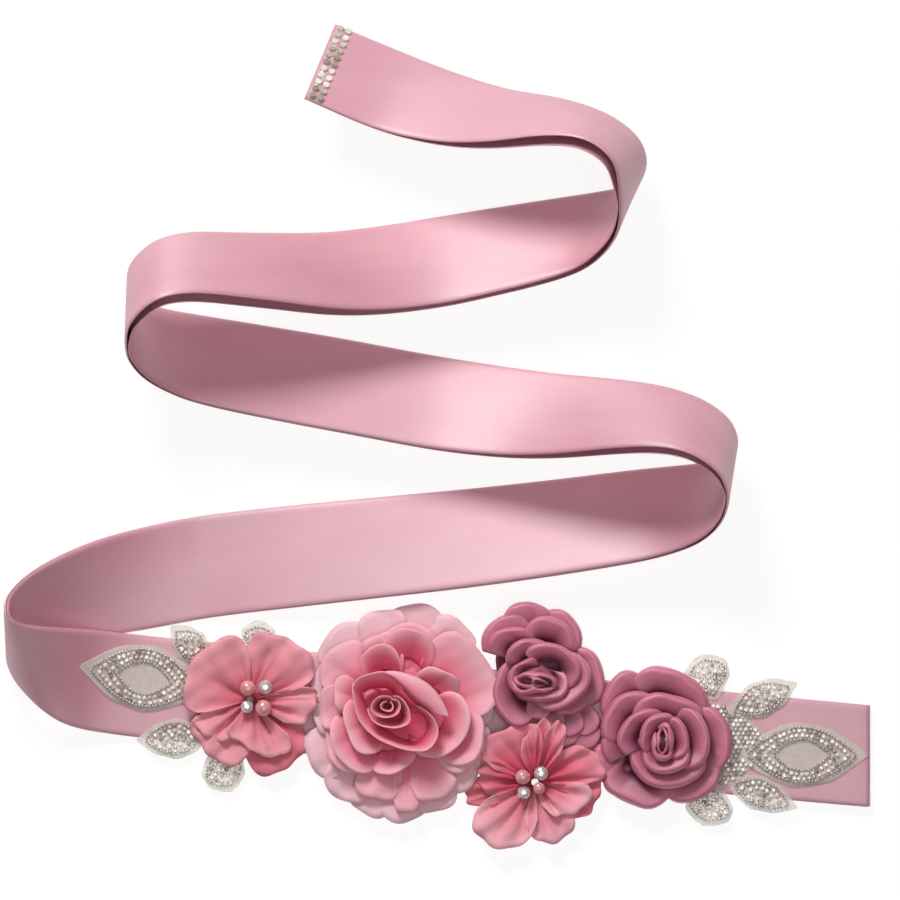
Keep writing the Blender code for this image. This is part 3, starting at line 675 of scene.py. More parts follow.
def surface_lengths(surface):
    """Distances in metres across and along a grid, for the weave."""
    along = np.linalg.norm(np.diff(surface, axis=1), axis=2).mean(axis=0)
    down = np.linalg.norm(np.diff(surface, axis=0), axis=2).mean(axis=1)
    across_m = np.concatenate([[0.0], np.cumsum(along)]) * MM
    down_m = np.concatenate([[0.0], np.cumsum(down)]) * MM
    return np.stack(np.meshgrid(across_m, down_m), axis=-1).reshape(-1, 2)


def add_petal(name, surface, thickness, look, slot, nodes):
    """A petal from its upper face, put on the belt's body in place of the solids it stands for; its
    slot is passed on but not used.
    """
    rows, columns = surface.shape[:2]
    climb = np.minimum(1.0, np.arange(rows) / (WALL_ROWS - 1))
    shares = np.stack(np.meshgrid(np.linspace(0.0, 1.0, columns), climb), axis=-1).reshape(-1, 2)
    under = surface - grid_normals(surface) * thickness
    piece = add_sheet(name, surface, under, look,
                      {"Cloth": surface_lengths(surface), "Share": shares})
    settle(piece, slot, *nodes)
    declare_sheet(surface)


def lobe(bearing, half, reach, turn=0.0):
    """A rounded petal's rim from the way it points, its half width and its reach."""
    return ((bearing - half, reach * (0.88 - turn)),
            (bearing - half * 0.62, reach * (0.965 - turn / 2)),
            (bearing, reach),
            (bearing + half * 0.62, reach * (0.965 + turn / 2)),
            (bearing + half, reach * (0.88 + turn)))


# The chiffon rose: two rings of wavy lobes, a ring of cups and an oval wound heart
CHIFFON_CENTRE = (-13.7, -108.0)
CHIFFON_HEART = (-19.6, -105.3)
# The round of cloth below the rose: radius, low, high
CHIFFON_BASE = (27.0, 3.4, 9.0)
CHIFFON_OUTER = (
    # bearing, half, reach, high
    (8, 22, 36.2, 6.0), (32, 20, 38.2, 6.4), (57, 19, 42.3, 5.8), (81, 20, 43.0, 5.2),
    (104, 19, 41.2, 5.6), (131, 21, 42.6, 6.0), (158, 19, 38.0, 6.4), (182, 18, 35.0, 6.6),
    (208, 20, 41.8, 6.0), (232, 19, 42.4, 5.4), (250, 16, 43.0, 5.0), (270, 17, 43.4, 5.2),
    (291, 17, 41.6, 5.6), (312, 18, 39.4, 6.2), (337, 19, 36.0, 6.4),
)
CHIFFON_MIDDLE = (
    # bearing, half, reach, high
    (84, 24, 35.2, 9.0), (108, 19, 32.4, 9.4), (142, 24, 37.4, 8.6), (176, 22, 33.0, 9.4),
    (212, 26, 33.6, 9.2), (250, 19, 36.4, 8.0), (294, 19, 37.2, 8.2), (272, 10, 39.8, 8.6),
    (331, 25, 35.0, 9.6), (32, 38, 39.0, 11.0),
)
CHIFFON_CUPS = (
    # low, high, depth, look, rim as bearing and reach
    (8.0, 13.6, 11.0, "chiffon_deep", ((139, 21.5), (127, 27.2), (112, 28.6), (98, 25.4), (90, 19.0))),
    (8.0, 12.6, 12.0, "chiffon_deep", ((110, 29.0), (98, 31.6), (84, 33.0), (70, 31.0), (58, 26.5))),
    (8.0, 12.8, 11.0, "chiffon", ((182, 29.6), (198, 30.2), (213, 30.8), (228, 30.6), (243, 29.0))),
    (8.4, 12.4, 11.0, "chiffon", ((146, 30.0), (160, 28.6), (172, 27.0), (184, 25.0))),
    (8.2, 12.6, 10.0, "chiffon", ((240, 27.0), (254, 25.6), (268, 22.8), (288, 20.0))),
    (8.0, 12.6, 12.0, "chiffon", ((308, 28.6), (322, 32.6), (335, 33.8), (348, 32.6), (362, 31.0))),
    (9.0, 15.0, 9.5, "chiffon", ((166, 24.2), (188, 23.4), (205, 23.4), (223, 23.0), (240, 20.6))),
    (9.0, 14.6, 10.0, "chiffon", ((285, 18.6), (309, 23.4), (327, 25.2), (345, 26.2), (360, 26.4),
        (374, 24.8), (386, 21.8))),
    (9.4, 14.8, 9.0, "chiffon", ((20, 26.0), (36, 24.4), (52, 22.0), (70, 19.0))),
)
CHIFFON_WINDINGS = (
    # low, high, depth, rim as bearing and reach, wound out from the heart
    (9.0, 18.4, 6.6, ((152, 17.0), (132, 15.4), (112, 13.8), (93, 13.2), (72, 12.0), (50, 10.6))),
    (9.0, 18.6, 5.0, ((146, 17.4), (172, 13.7), (208, 12.7), (240, 12.9), (270, 14.7), (286, 17.4),
        (301, 20.8), (313, 23.2), (330, 22.6), (343, 19.4), (358, 13.4))),
    (9.0, 20.6, 3.4, ((188, 8.8), (219, 8.4), (262, 8.2), (300, 9.8), (321, 10.4), (343, 8.8),
        (376, 6.6), (420, 5.0))),
    (9.0, 21.8, 2.8, ((60, 4.0), (100, 3.8), (150, 5.4), (190, 6.4), (235, 5.2), (280, 4.6), (330, 4.8),
        (382, 4.6), (420, 3.6))),
    (9.0, 21.0, 1.4, ((100, 1.9), (180, 2.6), (260, 2.2), (340, 2.2), (420, 1.6))),
)
# The flap that folds over the heart: its foot, crest, crown and rim
CHIFFON_FLAP = (
    ((97, 11.6, 11.0), (54, 8.6, 11.0), (14, 9.6, 11.0), (-12, 15.5, 11.0)),
    ((96, 12.6, 18.2), (54, 9.8, 19.4), (14, 11.4, 19.4), (-11, 18.6, 17.6)),
    ((95, 12.9, 18.5), (54, 12.2, 20.2), (13, 15.6, 19.8), (-11, 22.0, 17.8)),
    ((94, 13.2, 18.2), (54, 14.8, 18.4), (12, 20.2, 18.0), (-11, 24.4, 17.2)),
)


def chiffon_ring(name, lobes, low, look, crease, first_phase):
    """One ring of lobes, each with waves of its own, the later ones lying over the earlier."""
    for index, (bearing, half, reach, high) in enumerate(lobes, 1):
        phase = first_phase + index * 2.4
        style = petal_style(foot=10.0, droop=0.9, flare=0.4, bow=1.3, wave=0.75, waves=1.7,
                            tilt=1.6 * math.sin(phase), fall=0.26, phase=phase,
                            crumple=0.14, creases=((0.3 + 0.09 * (index % 5), crease, 0.07),))
        surface = petal_surface(CHIFFON_CENTRE, lobe(bearing, half, reach, 0.02 * math.sin(phase)),
                                low + 0.12 * (index % 3), high, style)
        add_petal(f"{name}_petal_{index}", surface, RING_THICKNESS, look, "chiffon_pink", [name])


def polar_loft(centre, curves, rows):
    """A smooth grid through curves given as bearing, reach and height."""
    grid = np.stack([smooth_curve(curve, PETAL_COLUMNS) for curve in curves])
    flat = smooth_curve(grid.reshape(len(curves), -1), rows).reshape(rows, PETAL_COLUMNS, 3)
    return on_plan(centre, flat[..., 1], np.radians(flat[..., 0]), flat[..., 2])


def add_base(name, centre, size, look, slot, nodes):
    """The domed round of cloth that a flower's petals are sewn to."""
    radius, low, high = size
    climb = np.linspace(1.0, 0.01, WALL_ROWS)[:, None]
    around = np.radians(np.linspace(360.0, 0.0, PETAL_COLUMNS))[None, :]
    reach = radius * climb * (1 + 0.04 * np.sin(5 * around + 0.7))
    dome = low + (high - low) * (1 - climb ** 2) + 0.15 * np.sin(7 * around) * climb
    surface = on_plan(centre, reach, around, dome)[::-1, ::-1]
    add_petal(name, surface, BASE_THICKNESS, look, slot, nodes)


def make_chiffon_rose(looks):
    add_base("chiffon_rose_base", CHIFFON_CENTRE, CHIFFON_BASE, looks["chiffon_deep"],
             "chiffon_pink", ["chiffon_rose_inner"])
    chiffon_ring("chiffon_rose_outer", CHIFFON_OUTER, 4.2, looks["chiffon_pale"], 0.4, 0.4)
    chiffon_ring("chiffon_rose_middle", CHIFFON_MIDDLE, 6.4, looks["chiffon"], 0.7, 1.7)
    for index, (low, high, depth, look, rim) in enumerate(CHIFFON_CUPS, 1):
        style = petal_style(depth=depth, foot=6.0, flare=0.75, droop=4.2, fall=0.3, wave=0.5,
                            waves=1.4, phase=index * 1.9, creases=((0.4, 0.6, 0.08),))
        surface = petal_surface(CHIFFON_CENTRE, rim, low, high, style)
        add_petal(f"chiffon_rose_inner_petal_{index}", surface, CUP_THICKNESS, looks[look],
                  "chiffon_pink", ["chiffon_rose_inner"])
    for index, (low, high, depth, rim) in enumerate(CHIFFON_WINDINGS, 1):
        style = petal_style(depth=depth, foot=0.8, flare=0.35, bow=0.9, droop=1.2, fall=0.25,
                            wave=0.25, waves=2.2, phase=index * 2.1)
        surface = petal_surface(CHIFFON_HEART, rim, low, high, style)
        add_petal(f"chiffon_rose_heart_petal_{index}", surface, HEART_THICKNESS,
                  looks["chiffon_deep"], "chiffon_pink", ["chiffon_rose_heart"])
    flap = polar_loft(CHIFFON_HEART, CHIFFON_FLAP, WALL_ROWS)
    add_petal("chiffon_rose_heart_flap", flap, HEART_THICKNESS, looks["chiffon"], "chiffon_pink",
              ["chiffon_rose_heart"])


# The satin roses: thick folded petals, their rims rolled over, wound tight to the heart
ROLL_FULLNESS = 0.62
PETAL_RISE = 5.5
PETAL_TUCK = 2.0
HEART_RISE = 9.0
# The rounds of cloth below a rose and its heart: radius, low, high
SATIN_BASE = (18.0, 3.2, 8.6)
SATIN_HEART_BASE = (8.5, 8.4, 14.8)
SATIN_1_CENTRE = (40.4, -90.8)
SATIN_1_PETALS = (
    # low, high, depth, roll, part, rim as bearing and reach
    (4.6, 8.6, 10.0, 2.4, "outer", ((134, 24.0), (117, 27.2), (103, 26.8), (91, 25.0), (76, 22.4))),
    (4.6, 8.2, 10.0, 2.4, "outer", ((90, 22.8), (71, 24.4), (56, 23.2), (41, 21.2), (24, 18.0))),
    (4.6, 8.8, 10.0, 2.4, "outer", ((164, 25.2), (148, 26.8), (132, 26.2), (116, 24.2), (100, 20.4))),
    (4.4, 8.2, 10.0, 2.4, "outer", ((32, 17.4), (18, 21.6), (3, 23.8), (-12, 25.6), (-27, 26.8),
        (-40, 25.0))),
    (4.4, 7.4, 9.0, 2.0, "outer", ((-30, 24.0), (-48, 23.4), (-64, 21.0), (-82, 19.4))),
    (5.6, 11.4, 9.0, 2.4, "outer", ((120, 16.0), (98, 20.0), (80, 20.8), (62, 20.4), (42, 18.0),
        (26, 16.4))),
    (5.6, 11.2, 9.0, 2.2, "outer", ((164, 22.6), (148, 23.8), (132, 21.4), (114, 17.8), (100, 13.6))),
    (5.2, 11.4, 9.0, 2.4, "outer", ((168, 14.6), (190, 18.4), (212, 22.4), (232, 25.2), (250, 25.0),
        (264, 20.0))),
    (6.4, 14.4, 7.0, 2.0, "coil", ((38, 12.4), (16, 16.8), (-2, 19.4), (-19, 20.2), (-38, 19.4),
        (-60, 18.2), (-84, 17.0), (-104, 14.0))),
    (6.6, 14.8, 6.0, 1.8, "coil", ((172, 14.8), (150, 15.0), (130, 14.2), (104, 12.2), (76, 10.8))),
    (6.8, 16.2, 6.0, 1.9, "coil", ((140, 9.0), (112, 10.2), (70, 10.8), (36, 12.8), (8, 15.2),
        (-12, 16.0), (-34, 14.8))),
    (7.0, 15.8, 5.0, 1.6, "coil", ((226, 14.6), (208, 14.4), (192, 13.4), (176, 11.0), (156, 7.8),
        (116, 5.2))),
    (7.0, 15.6, 5.0, 1.6, "coil", ((216, 13.6), (238, 13.8), (262, 13.2), (286, 13.4), (308, 14.2),
        (330, 13.0), (350, 10.0))),
)
SATIN_1_FOLDS = (
    # high, depth, roll, rim around the heart as bearing and reach
    (18.4, 3.6, 1.5, ((170, 7.4), (128, 5.0), (70, 4.2), (30, 6.4), (6, 9.4), (-16, 9.6))),
    (18.0, 3.6, 1.5, ((176, 9.2), (206, 8.6), (244, 5.6), (290, 4.6), (328, 7.4), (346, 9.6))),
    (17.6, 2.4, 1.3, ((160, 8.0), (184, 7.4), (220, 4.0), (300, 2.8), (346, 5.0))),
    (19.0, 2.0, 1.1, ((150, 4.6), (90, 2.0), (20, 3.6), (350, 6.6))),
)
SATIN_1_HEART = (37.2, -96.0)
SATIN_2_CENTRE = (88.6, -117.8)
SATIN_2_PETALS = (
    (4.6, 8.8, 10.0, 2.5, "outer", ((162, 26.6), (146, 29.4), (132, 30.6), (120, 30.4), (108, 26.0))),
    (4.4, 8.4, 10.0, 2.5, "outer", ((186, 27.0), (192, 28.4), (203, 28.6), (215, 29.4), (226, 26.0))),
    (4.8, 9.8, 10.0, 2.8, "outer", ((120, 27.0), (101, 28.4), (85, 27.2), (68, 25.8), (50, 24.4),
        (32, 21.6))),
    (4.6, 8.8, 10.0, 2.5, "outer", ((-18, 25.0), (-34, 27.0), (-46, 28.4), (-60, 28.0), (-78, 26.6),
        (-92, 23.0))),
    (4.8, 9.4, 10.0, 2.7, "outer", ((42, 19.4), (29, 23.2), (16, 25.2), (-1, 26.8), (-18, 27.0),
        (-36, 26.0))),
    (4.6, 9.6, 10.0, 2.8, "outer", ((204, 26.0), (219, 30.6), (231, 30.2), (245, 29.4), (260, 28.8),
        (276, 24.6))),
    (5.6, 11.0, 9.0, 2.3, "outer", ((206, 24.6), (192, 25.4), (181, 24.2), (170, 20.8), (160, 17.0))),
    (6.0, 13.0, 9.0, 2.5, "outer", ((186, 23.6), (176, 25.0), (159, 25.4), (144, 24.8), (130, 23.0),
        (114, 19.8), (100, 15.6))),
    (6.2, 13.4, 8.0, 2.3, "coil", ((150, 15.6), (124, 18.0), (102, 18.0), (78, 17.0), (54, 17.8),
        (36, 18.6), (18, 15.6))),
    (6.0, 13.2, 8.0, 2.4, "coil", ((182, 13.0), (214, 16.6), (235, 18.6), (253, 19.8), (275, 20.4),
        (300, 20.8), (324, 20.6), (340, 17.4))),
    (6.4, 14.8, 7.0, 2.0, "coil", ((60, 14.4), (40, 16.6), (18, 17.2), (-7, 18.2), (-27, 18.6),
        (-50, 16.6), (-70, 13.0))),
    (6.6, 15.6, 6.5, 2.0, "coil", ((206, 17.4), (190, 18.6), (176, 18.4), (158, 16.8), (138, 15.0),
        (116, 13.0), (96, 11.0))),
    (6.8, 16.6, 5.5, 1.8, "coil", ((210, 10.4), (236, 13.4), (262, 14.4), (290, 14.4), (312, 13.8),
        (332, 11.8), (350, 9.4))),
    (7.0, 17.4, 5.0, 1.7, "coil", ((222, 10.2), (200, 10.2), (172, 9.8), (142, 9.9), (108, 9.9),
        (75, 9.6), (52, 8.0))),
    (7.0, 17.2, 5.0, 1.7, "coil", ((92, 7.8), (62, 9.4), (38, 9.4), (4, 9.6), (-30, 10.8), (-56, 10.6),
        (-80, 8.6))),
)
SATIN_2_FOLDS = (
    (18.8, 3.0, 1.3, ((130, 4.6), (170, 4.4), (215, 5.4), (256, 8.2), (290, 8.0), (320, 5.2))),
    (19.4, 3.0, 1.3, ((290, 6.8), (330, 4.8), (10, 4.4), (50, 5.4), (82, 7.2), (112, 5.6))),
    (19.0, 1.8, 1.0, ((84, 5.4), (146, 3.0), (215, 3.2), (272, 6.6))),
    (19.6, 1.6, 0.9, ((258, 6.6), (326, 2.8), (44, 2.9), (100, 6.0))),
)
SATIN_2_HEART = (88.0, -118.8)


def satin_petal(name, centre, row, index, look, node_name):
    """A folded petal of satin with its rim rolled over."""
    low, high, depth, roll, rim = row
    crease = 0.28 + 0.11 * (index % 5)
    style = petal_style(depth=depth, foot=0.5, bow=0.55, lip=roll * ROLL_FULLNESS, lip_turn=165.0,
                        fall=0.1, round_power=4, droop=2.8, tilt=0.8 * math.sin(index * 2.3),
                        wave=0.2, waves=1.6, phase=index * 1.7, creases=((crease, 0.45, 0.06),))
    surface = petal_surface(centre, wound(rim), low, high, style)
    add_petal(name, surface, SATIN_THICKNESS, look, "satin_mauve", [node_name])


def wound(rim):
    """A rim whose bearings run on past a full turn instead of jumping back."""
    bearings = np.degrees(np.unwrap(np.radians([bearing for bearing, _ in rim])))
    return tuple((float(bearing), reach) for bearing, (_, reach) in zip(bearings, rim))


def make_satin_rose(name, centre, petals, heart, folds, look, dark):
    # Painted shade: the round under the petals is near black, so that it shows as the shade in the gaps
    # between them.
    add_base(f"{name}_base", centre, SATIN_BASE, dark, "satin_mauve", [f"{name}_outer"])
    add_base(f"{name}_heart_base", heart, SATIN_HEART_BASE, look, "satin_mauve",
             [f"{name}_coil"])
    for index, (low, high, depth, roll, part, rim) in enumerate(petals, 1):
        row = (max(low, high - PETAL_RISE), high, depth + PETAL_TUCK, roll, rim)
        satin_petal(f"{name}_petal_{index}", centre, row, index, look, f"{name}_{part}")
    for index, (high, depth, roll, rim) in enumerate(folds, 1):
        row = (high - HEART_RISE, high, depth, roll, rim)
        satin_petal(f"{name}_heart_fold_{index}", heart, row, index, look, f"{name}_coil")


# Small folds of satin tucked between the first satin rose and its neighbours
SATIN_TUCKS = (
    # bearing, half, reach, low, high around the first satin rose
    (-62, 14, 30.0, 4.0, 7.4), (-50, 13, 33.0, 3.8, 6.4), (-78, 15, 26.0, 4.4, 8.2),
    (-94, 19, 20.6, 5.0, 9.4), (-58, 15, 37.5, 3.2, 5.4), (-70, 12, 33.0, 3.4, 6.0),
)


def make_tucks(look):
    for index, (bearing, half, reach, low, high) in enumerate(SATIN_TUCKS, 1):
        style = petal_style(depth=13.0, foot=6.0, lip=1.3, lip_turn=160.0, fall=0.35, bow=0.8,
                            creases=((0.5, -1.2, 0.2),))
        surface = petal_surface(SATIN_1_CENTRE, lobe(bearing, half, reach), low, high, style)
        add_petal(f"satin_tuck_{index}", surface, SATIN_THICKNESS, look, "satin_mauve", [])


# The small flowers: folded and gathered petals of chiffon, the last ones lying on top
SMALL_1_CENTRE = (-73.7, -103.3)
SMALL_1_PETALS = (
    # low, high, tilt, look, rim as bearing and reach
    (3.4, 5.6, 0.6, "coral_deep", ((-22, 22.0), (-34, 28.2), (-49, 29.8), (-63, 30.2), (-79, 31.0),
        (-96, 27.0))),
    (3.6, 6.4, 1.0, "coral", ((193, 21.0), (200, 25.0), (217, 26.0), (234, 27.0), (252, 27.8),
        (272, 24.6))),
    (4.0, 7.0, -1.0, "coral", ((192, 22.0), (206, 23.6), (222, 21.6), (236, 19.6), (252, 18.0))),
    (4.2, 8.0, -1.6, "coral", ((233, 18.6), (254, 17.4), (268, 18.6), (280, 22.0), (294, 24.2),
        (306, 25.8), (318, 26.0))),
    (4.4, 8.4, 1.8, "coral", ((18, 22.0), (8, 26.2), (-4, 25.8), (-21, 23.8), (-34, 20.0))),
    (4.8, 8.2, 0.6, "coral", ((96, 22.4), (83, 27.6), (66, 27.6), (50, 29.0), (35, 29.4), (20, 27.4),
        (12, 20.0))),
    (5.0, 8.6, -0.8, "coral", ((196, 20.0), (190, 25.4), (174, 26.2), (152, 27.2), (132, 27.0),
        (114, 27.0), (97, 24.8), (90, 19.0))),
)
SMALL_2_CENTRE = (38.0, -135.5)
SMALL_2_PETALS = (
    (3.4, 5.6, 0.4, "coral_deep", ((170, 21.0), (180, 26.0), (190, 27.6), (199, 27.2), (208, 23.0))),
    (3.4, 5.8, 0.6, "coral_deep", ((14, 25.0), (0, 26.4), (-16, 25.4), (-32, 24.4), (-48, 22.0))),
    (3.6, 6.4, 0.6, "coral_pale", ((-108, 17.0), (-90, 22.4), (-76, 24.8), (-60, 24.8), (-44, 22.4),
        (-30, 18.0))),
    (3.8, 7.0, 0.8, "coral_pale", ((198, 22.0), (207, 27.4), (218, 30.4), (230, 30.6), (243, 29.4),
        (258, 25.6), (274, 19.0))),
    (4.2, 7.8, 1.2, "coral_pale", ((-74, 12.0), (-60, 15.0), (-46, 18.2), (-29, 21.4), (-11, 23.2),
        (0, 24.0))),
    (4.4, 8.2, -1.0, "coral_deep", ((150, 20.0), (166, 22.4), (182, 21.6), (200, 19.4))),
    (4.6, 8.8, 1.2, "deep_coral", ((52, 17.0), (42, 21.8), (30, 25.4), (14, 28.4), (3, 26.8),
        (-4, 20.0))),
    (5.0, 9.4, -1.0, "deep_coral", ((163, 20.0), (152, 24.6), (138, 25.4), (120, 24.2), (103, 23.6),
        (88, 23.4), (78, 19.0))),
    (5.0, 10.4, 1.0, "deep_coral", ((118, 14.0), (104, 18.0), (92, 21.6), (82, 25.4), (72, 26.2))),
    (5.2, 11.6, 0.4, "deep_coral", ((78, 20.0), (70, 25.6), (60, 24.0), (50, 19.0))),
)


def make_small_flower(name, centre, petals, looks, slot):
    for index, (low, high, tilt, look, rim) in enumerate(petals, 1):
        style = petal_style(foot=1.4, fall=0.22, droop=0.7, tilt=tilt, bow=0.9, flare=0.25,
                            wave=0.8, waves=2.8, phase=index * 2.2, crumple=0.4,
                            creases=((0.16 + 0.06 * (index % 3), 1.3, 0.05), (0.42, -1.0, 0.08),
                                     (0.57, 0.9, 0.04), (0.78 - 0.05 * (index % 4), 1.1, 0.06)))
        surface = petal_surface(centre, rim, low, high, style)
        add_petal(f"{name}_fold_{index}", surface, CUP_THICKNESS, looks[look], slot,
                  [f"{name}_petal_{(index - 1) % 5 + 1}"])


# Stones and beads, each kind joined in one mesh for each sub-part
PLAN_X = np.array([1.0, 0.0, 0.0])
PLAN_Y = np.array([0.0, 1.0, 0.0])


def faceted(rings, sides):
    """A closed cut shape from rings of facets: radius, level and turn in shares of a side."""
    points, faces = [], []
    for size, level, turn in rings:
        for side in range(sides):
            angle = math.tau * (side + turn) / sides
            points.append((size * math.cos(angle), size * math.sin(angle), level))
    for ring in range(len(rings) - 1):
        near, far = ring * sides, (ring + 1) * sides
        for side in range(sides):
            follow = (side + 1) % sides
            faces.append([near + side, near + follow, far + follow])
            faces.append([near + side, far + follow, far + side])
    faces.append(list(range(sides))[::-1])
    faces.append(list(range((len(rings) - 1) * sides, len(rings) * sides)))
    return np.array(points), faces


def cut_stone(sides, radius, height, table):
    """A domed stone with a flat table, an upper and a lower row of facets, and a flat back."""
    return faceted(((radius * 0.86, 0.0, 0.0), (radius, height * 0.3, 0.0),
                    (radius * 0.78, height * 0.78, 0.5), (radius * table, height, 0.0)), sides)


def ball(segments, rings, radius):
    """A small round bead."""
    points, faces = [(0.0, 0.0, -radius)], []
    for ring in range(1, rings):
        level = -math.cos(math.pi * ring / rings) * radius
        size = math.sin(math.pi * ring / rings) * radius
        for side in range(segments):
            angle = math.tau * side / segments
            points.append((size * math.cos(angle), size * math.sin(angle), level))
    points.append((0.0, 0.0, radius))
    last = len(points) - 1
    for side in range(segments):
        follow = (side + 1) % segments
        faces.append([0, 1 + follow, 1 + side])
        faces.append([last, last - segments + side, last - segments + follow])
        for ring in range(rings - 2):
            near, far = 1 + ring * segments, 1 + (ring + 1) * segments
            faces.append([near + side, near + follow, far + follow, far + side])
    return np.array(points), faces


def place_copies(shape, spots):
    """Copies of a shape: each spot gives a centre, two directions on the cloth, turn and size."""
    points, faces = shape
    all_points, all_faces = [], []
    for centre, side, ahead, turn, size in spots:
        up = np.cross(side, ahead)
        first = side * math.cos(turn) + ahead * math.sin(turn)
        second = np.cross(up, first)
        base = len(all_points) * len(points)
        all_points.append(centre + size * (points[:, :1] * first + points[:, 1:2] * second
                                           + points[:, 2:] * up))
        all_faces += [[base + index for index in face] for face in faces]
    return np.concatenate(all_points), all_faces


def add_copies(name, shape, spots, look, slot, smooth=False):
    points, faces = place_copies(shape, spots)
    return settle(add_mesh(name, points, faces, look, smooth=smooth), slot)


# The tail's crystal trim: stones in cups on a chain, two rows side by side
TRIM_STONES = 11
TRIM_ROWS = (2.6, 5.9)
TRIM_STONE_RADIUS = 1.42
TRIM_CUP_RADIUS = 1.72
TRIM_LIFT = 0.35
TRIM_STONE_LIFT = 0.75
TRIM_CLAW_LIFT = 1.35


def make_tail_trim(ribbon, looks, rng):
    stones, cups, claws = [], [], []
    run, across, normal = ribbon["run"][0], ribbon["across"][0], ribbon["normal"][0]
    for place in TRIM_ROWS:
        for index in range(TRIM_STONES):
            share = (index + 0.5) / TRIM_STONES
            spot = (ribbon["edge"][0] + across * RIBBON_WIDTH * share + run * place
                    + normal * (PLY_OUT + TRIM_LIFT))
            turn = rng.uniform(0.0, math.tau)
            stones.append((spot + normal * TRIM_STONE_LIFT, across, -run, turn, 1.0))
            cups.append((spot, across, -run, turn, 1.0))
    for centre, across, ahead, turn, _ in cups:
        for corner in range(4):
            angle = turn + math.tau * (corner + 0.5) / 4
            off = (across * math.cos(angle) + ahead * math.sin(angle)) * TRIM_STONE_RADIUS
            top = np.cross(across, ahead) * TRIM_CLAW_LIFT
            claws.append((centre + off + top, across, ahead, 0.0, 1.0))
    cup = cut_stone(8, TRIM_CUP_RADIUS, 1.25, 0.8)
    silver = add_copies("tail_trim_cups", cup, cups, looks["silver"], "crystal_trim")
    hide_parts("tail_crystal_trim")
    add_copies("tail_trim_stones", cut_stone(8, TRIM_STONE_RADIUS, 1.5, 0.5), stones,
               looks["stone"], "crystal_trim")
    add_copies("tail_trim_claws", ball(6, 4, 0.34), claws, looks["silver"], "crystal_trim", True)


# Crystal leaves: sheer organza under rows of stones and seed beads, which follow the outline.
# An open leaf has two rows of each and a bare middle.
SEED_RADIUS = 0.6
SEED_PITCH = 1.3
STONE_RADIUS = 0.92
STONE_PITCH = 1.95
STONE_ROW = 1.75
OPEN_SEED_ROWS = (1.9, 6.5)
OPEN_STONE_ROWS = (3.2, 5.0)
CLOSED_SEED_ROW = 1.5
CLOSED_STONE_START = 2.7
LEAF_LIFT = 0.45
STONE_LIFT = LEAF_LIFT + 0.15
SEED_LIFT = 0.35
SETTING_SPREAD = 0.09
LEAF_STONE = cut_stone(7, STONE_RADIUS, 0.95, 0.5)
LEAF_END_HALF = 0.4
ORGANZA_THICKNESS = 0.12
LEAVES = (
    # name, root_x, root_y, tip_x, tip_y, width, widest, roundness, open
    ("leaf_left_1", -90.5, -99.0, -140.2, -90.0, 26.0, 0.5, 0.9, True),
    ("leaf_left_2", -91.0, -87.4, -104.6, -74.4, 13.0, 0.42, 0.75, False),
    ("leaf_left_3", -91.5, -118.0, -118.0, -119.0, 15.6, 0.42, 0.8, False),
    ("leaf_left_4", -87.2, -122.8, -81.0, -139.2, 17.0, 0.5, 0.62, False),
    ("leaf_left_5", -70.6, -86.0, -70.4, -72.2, 13.5, 0.6, 0.62, False),
    ("leaf_right_1", 109.0, -103.4, 103.0, -85.6, 18.0, 0.6, 0.62, False),
    ("leaf_right_2", 113.0, -109.0, 140.6, -96.8, 14.0, 0.5, 0.85, False),
    ("leaf_right_3", 116.6, -124.6, 168.4, -124.8, 25.4, 0.5, 0.9, True),
    ("leaf_right_4", 113.6, -135.0, 140.6, -145.6, 13.4, 0.47, 0.85, False),
    ("leaf_right_5", 109.0, -136.6, 104.2, -152.6, 19.0, 0.56, 0.62, False),
)


def belt_top(ribbon, x, y):
    """Height of the front stretch's upper face under a place on plan."""
    first = (FRONT_ROW + 1) * RIBBON_STEPS
    edge = ribbon["edge"][first:]
    low = edge + ribbon["across"][first:] * RIBBON_WIDTH
    edge_y, edge_z = (np.interp(x, edge[:, 0], edge[:, axis]) for axis in (1, 2))
    low_y, low_z = (np.interp(x, low[:, 0], low[:, axis]) for axis in (1, 2))
    share = min(1.0, max(0.0, (edge_y - y) / (edge_y - low_y)))
    return edge_z + (low_z - edge_z) * share + PLY_OUT


def leaf_axes(row):
    """A leaf's root on plan, its length, and the directions along and across it."""
    root_x, root_y, tip_x, tip_y = row[1:5]
    spine = np.array([tip_x - root_x, tip_y - root_y])
    length = np.linalg.norm(spine)
    ahead = spine / length
    return np.array([root_x, root_y]), length, ahead, np.array([-ahead[1], ahead[0]])


def leaf_half(row, share):
    """Half a leaf's width at a share of its length."""
    width, widest, roundness = row[5:8]
    power = math.log(0.5) / math.log(widest)
    bulge = math.sin(math.pi * min(1.0, max(0.0, share)) ** power)
    return LEAF_END_HALF + (width / 2 - LEAF_END_HALF) * max(0.0, bulge) ** roundness


def leaf_outline(row, inset, pitch):
    """Evenly spaced places on plan along a line drawn in from a leaf's outline."""
    root, length, ahead, aside = leaf_axes(row)
    end = (length / 2 - inset * 1.5) / (length / 2)
    shares = np.linspace(0.0, 1.0, 60)
    dense = []
    for side, along in ((1, shares), (-1, np.linspace(1.0, 0.0, 60))):
        for share in along:
            half = leaf_half(row, share) - inset
            place = 0.5 + (share - 0.5) * end
            if half > 0.15:
                dense.append(root + ahead * length * place + aside * half * side)
    dense = np.array(dense)
    steps = np.concatenate([[0.0], np.cumsum(np.linalg.norm(np.diff(dense, axis=0), axis=1))])
    marks = np.linspace(0.0, steps[-1], max(3, int(steps[-1] / pitch)))
    return np.stack([np.interp(marks, steps, dense[:, axis]) for axis in (0, 1)], axis=1)


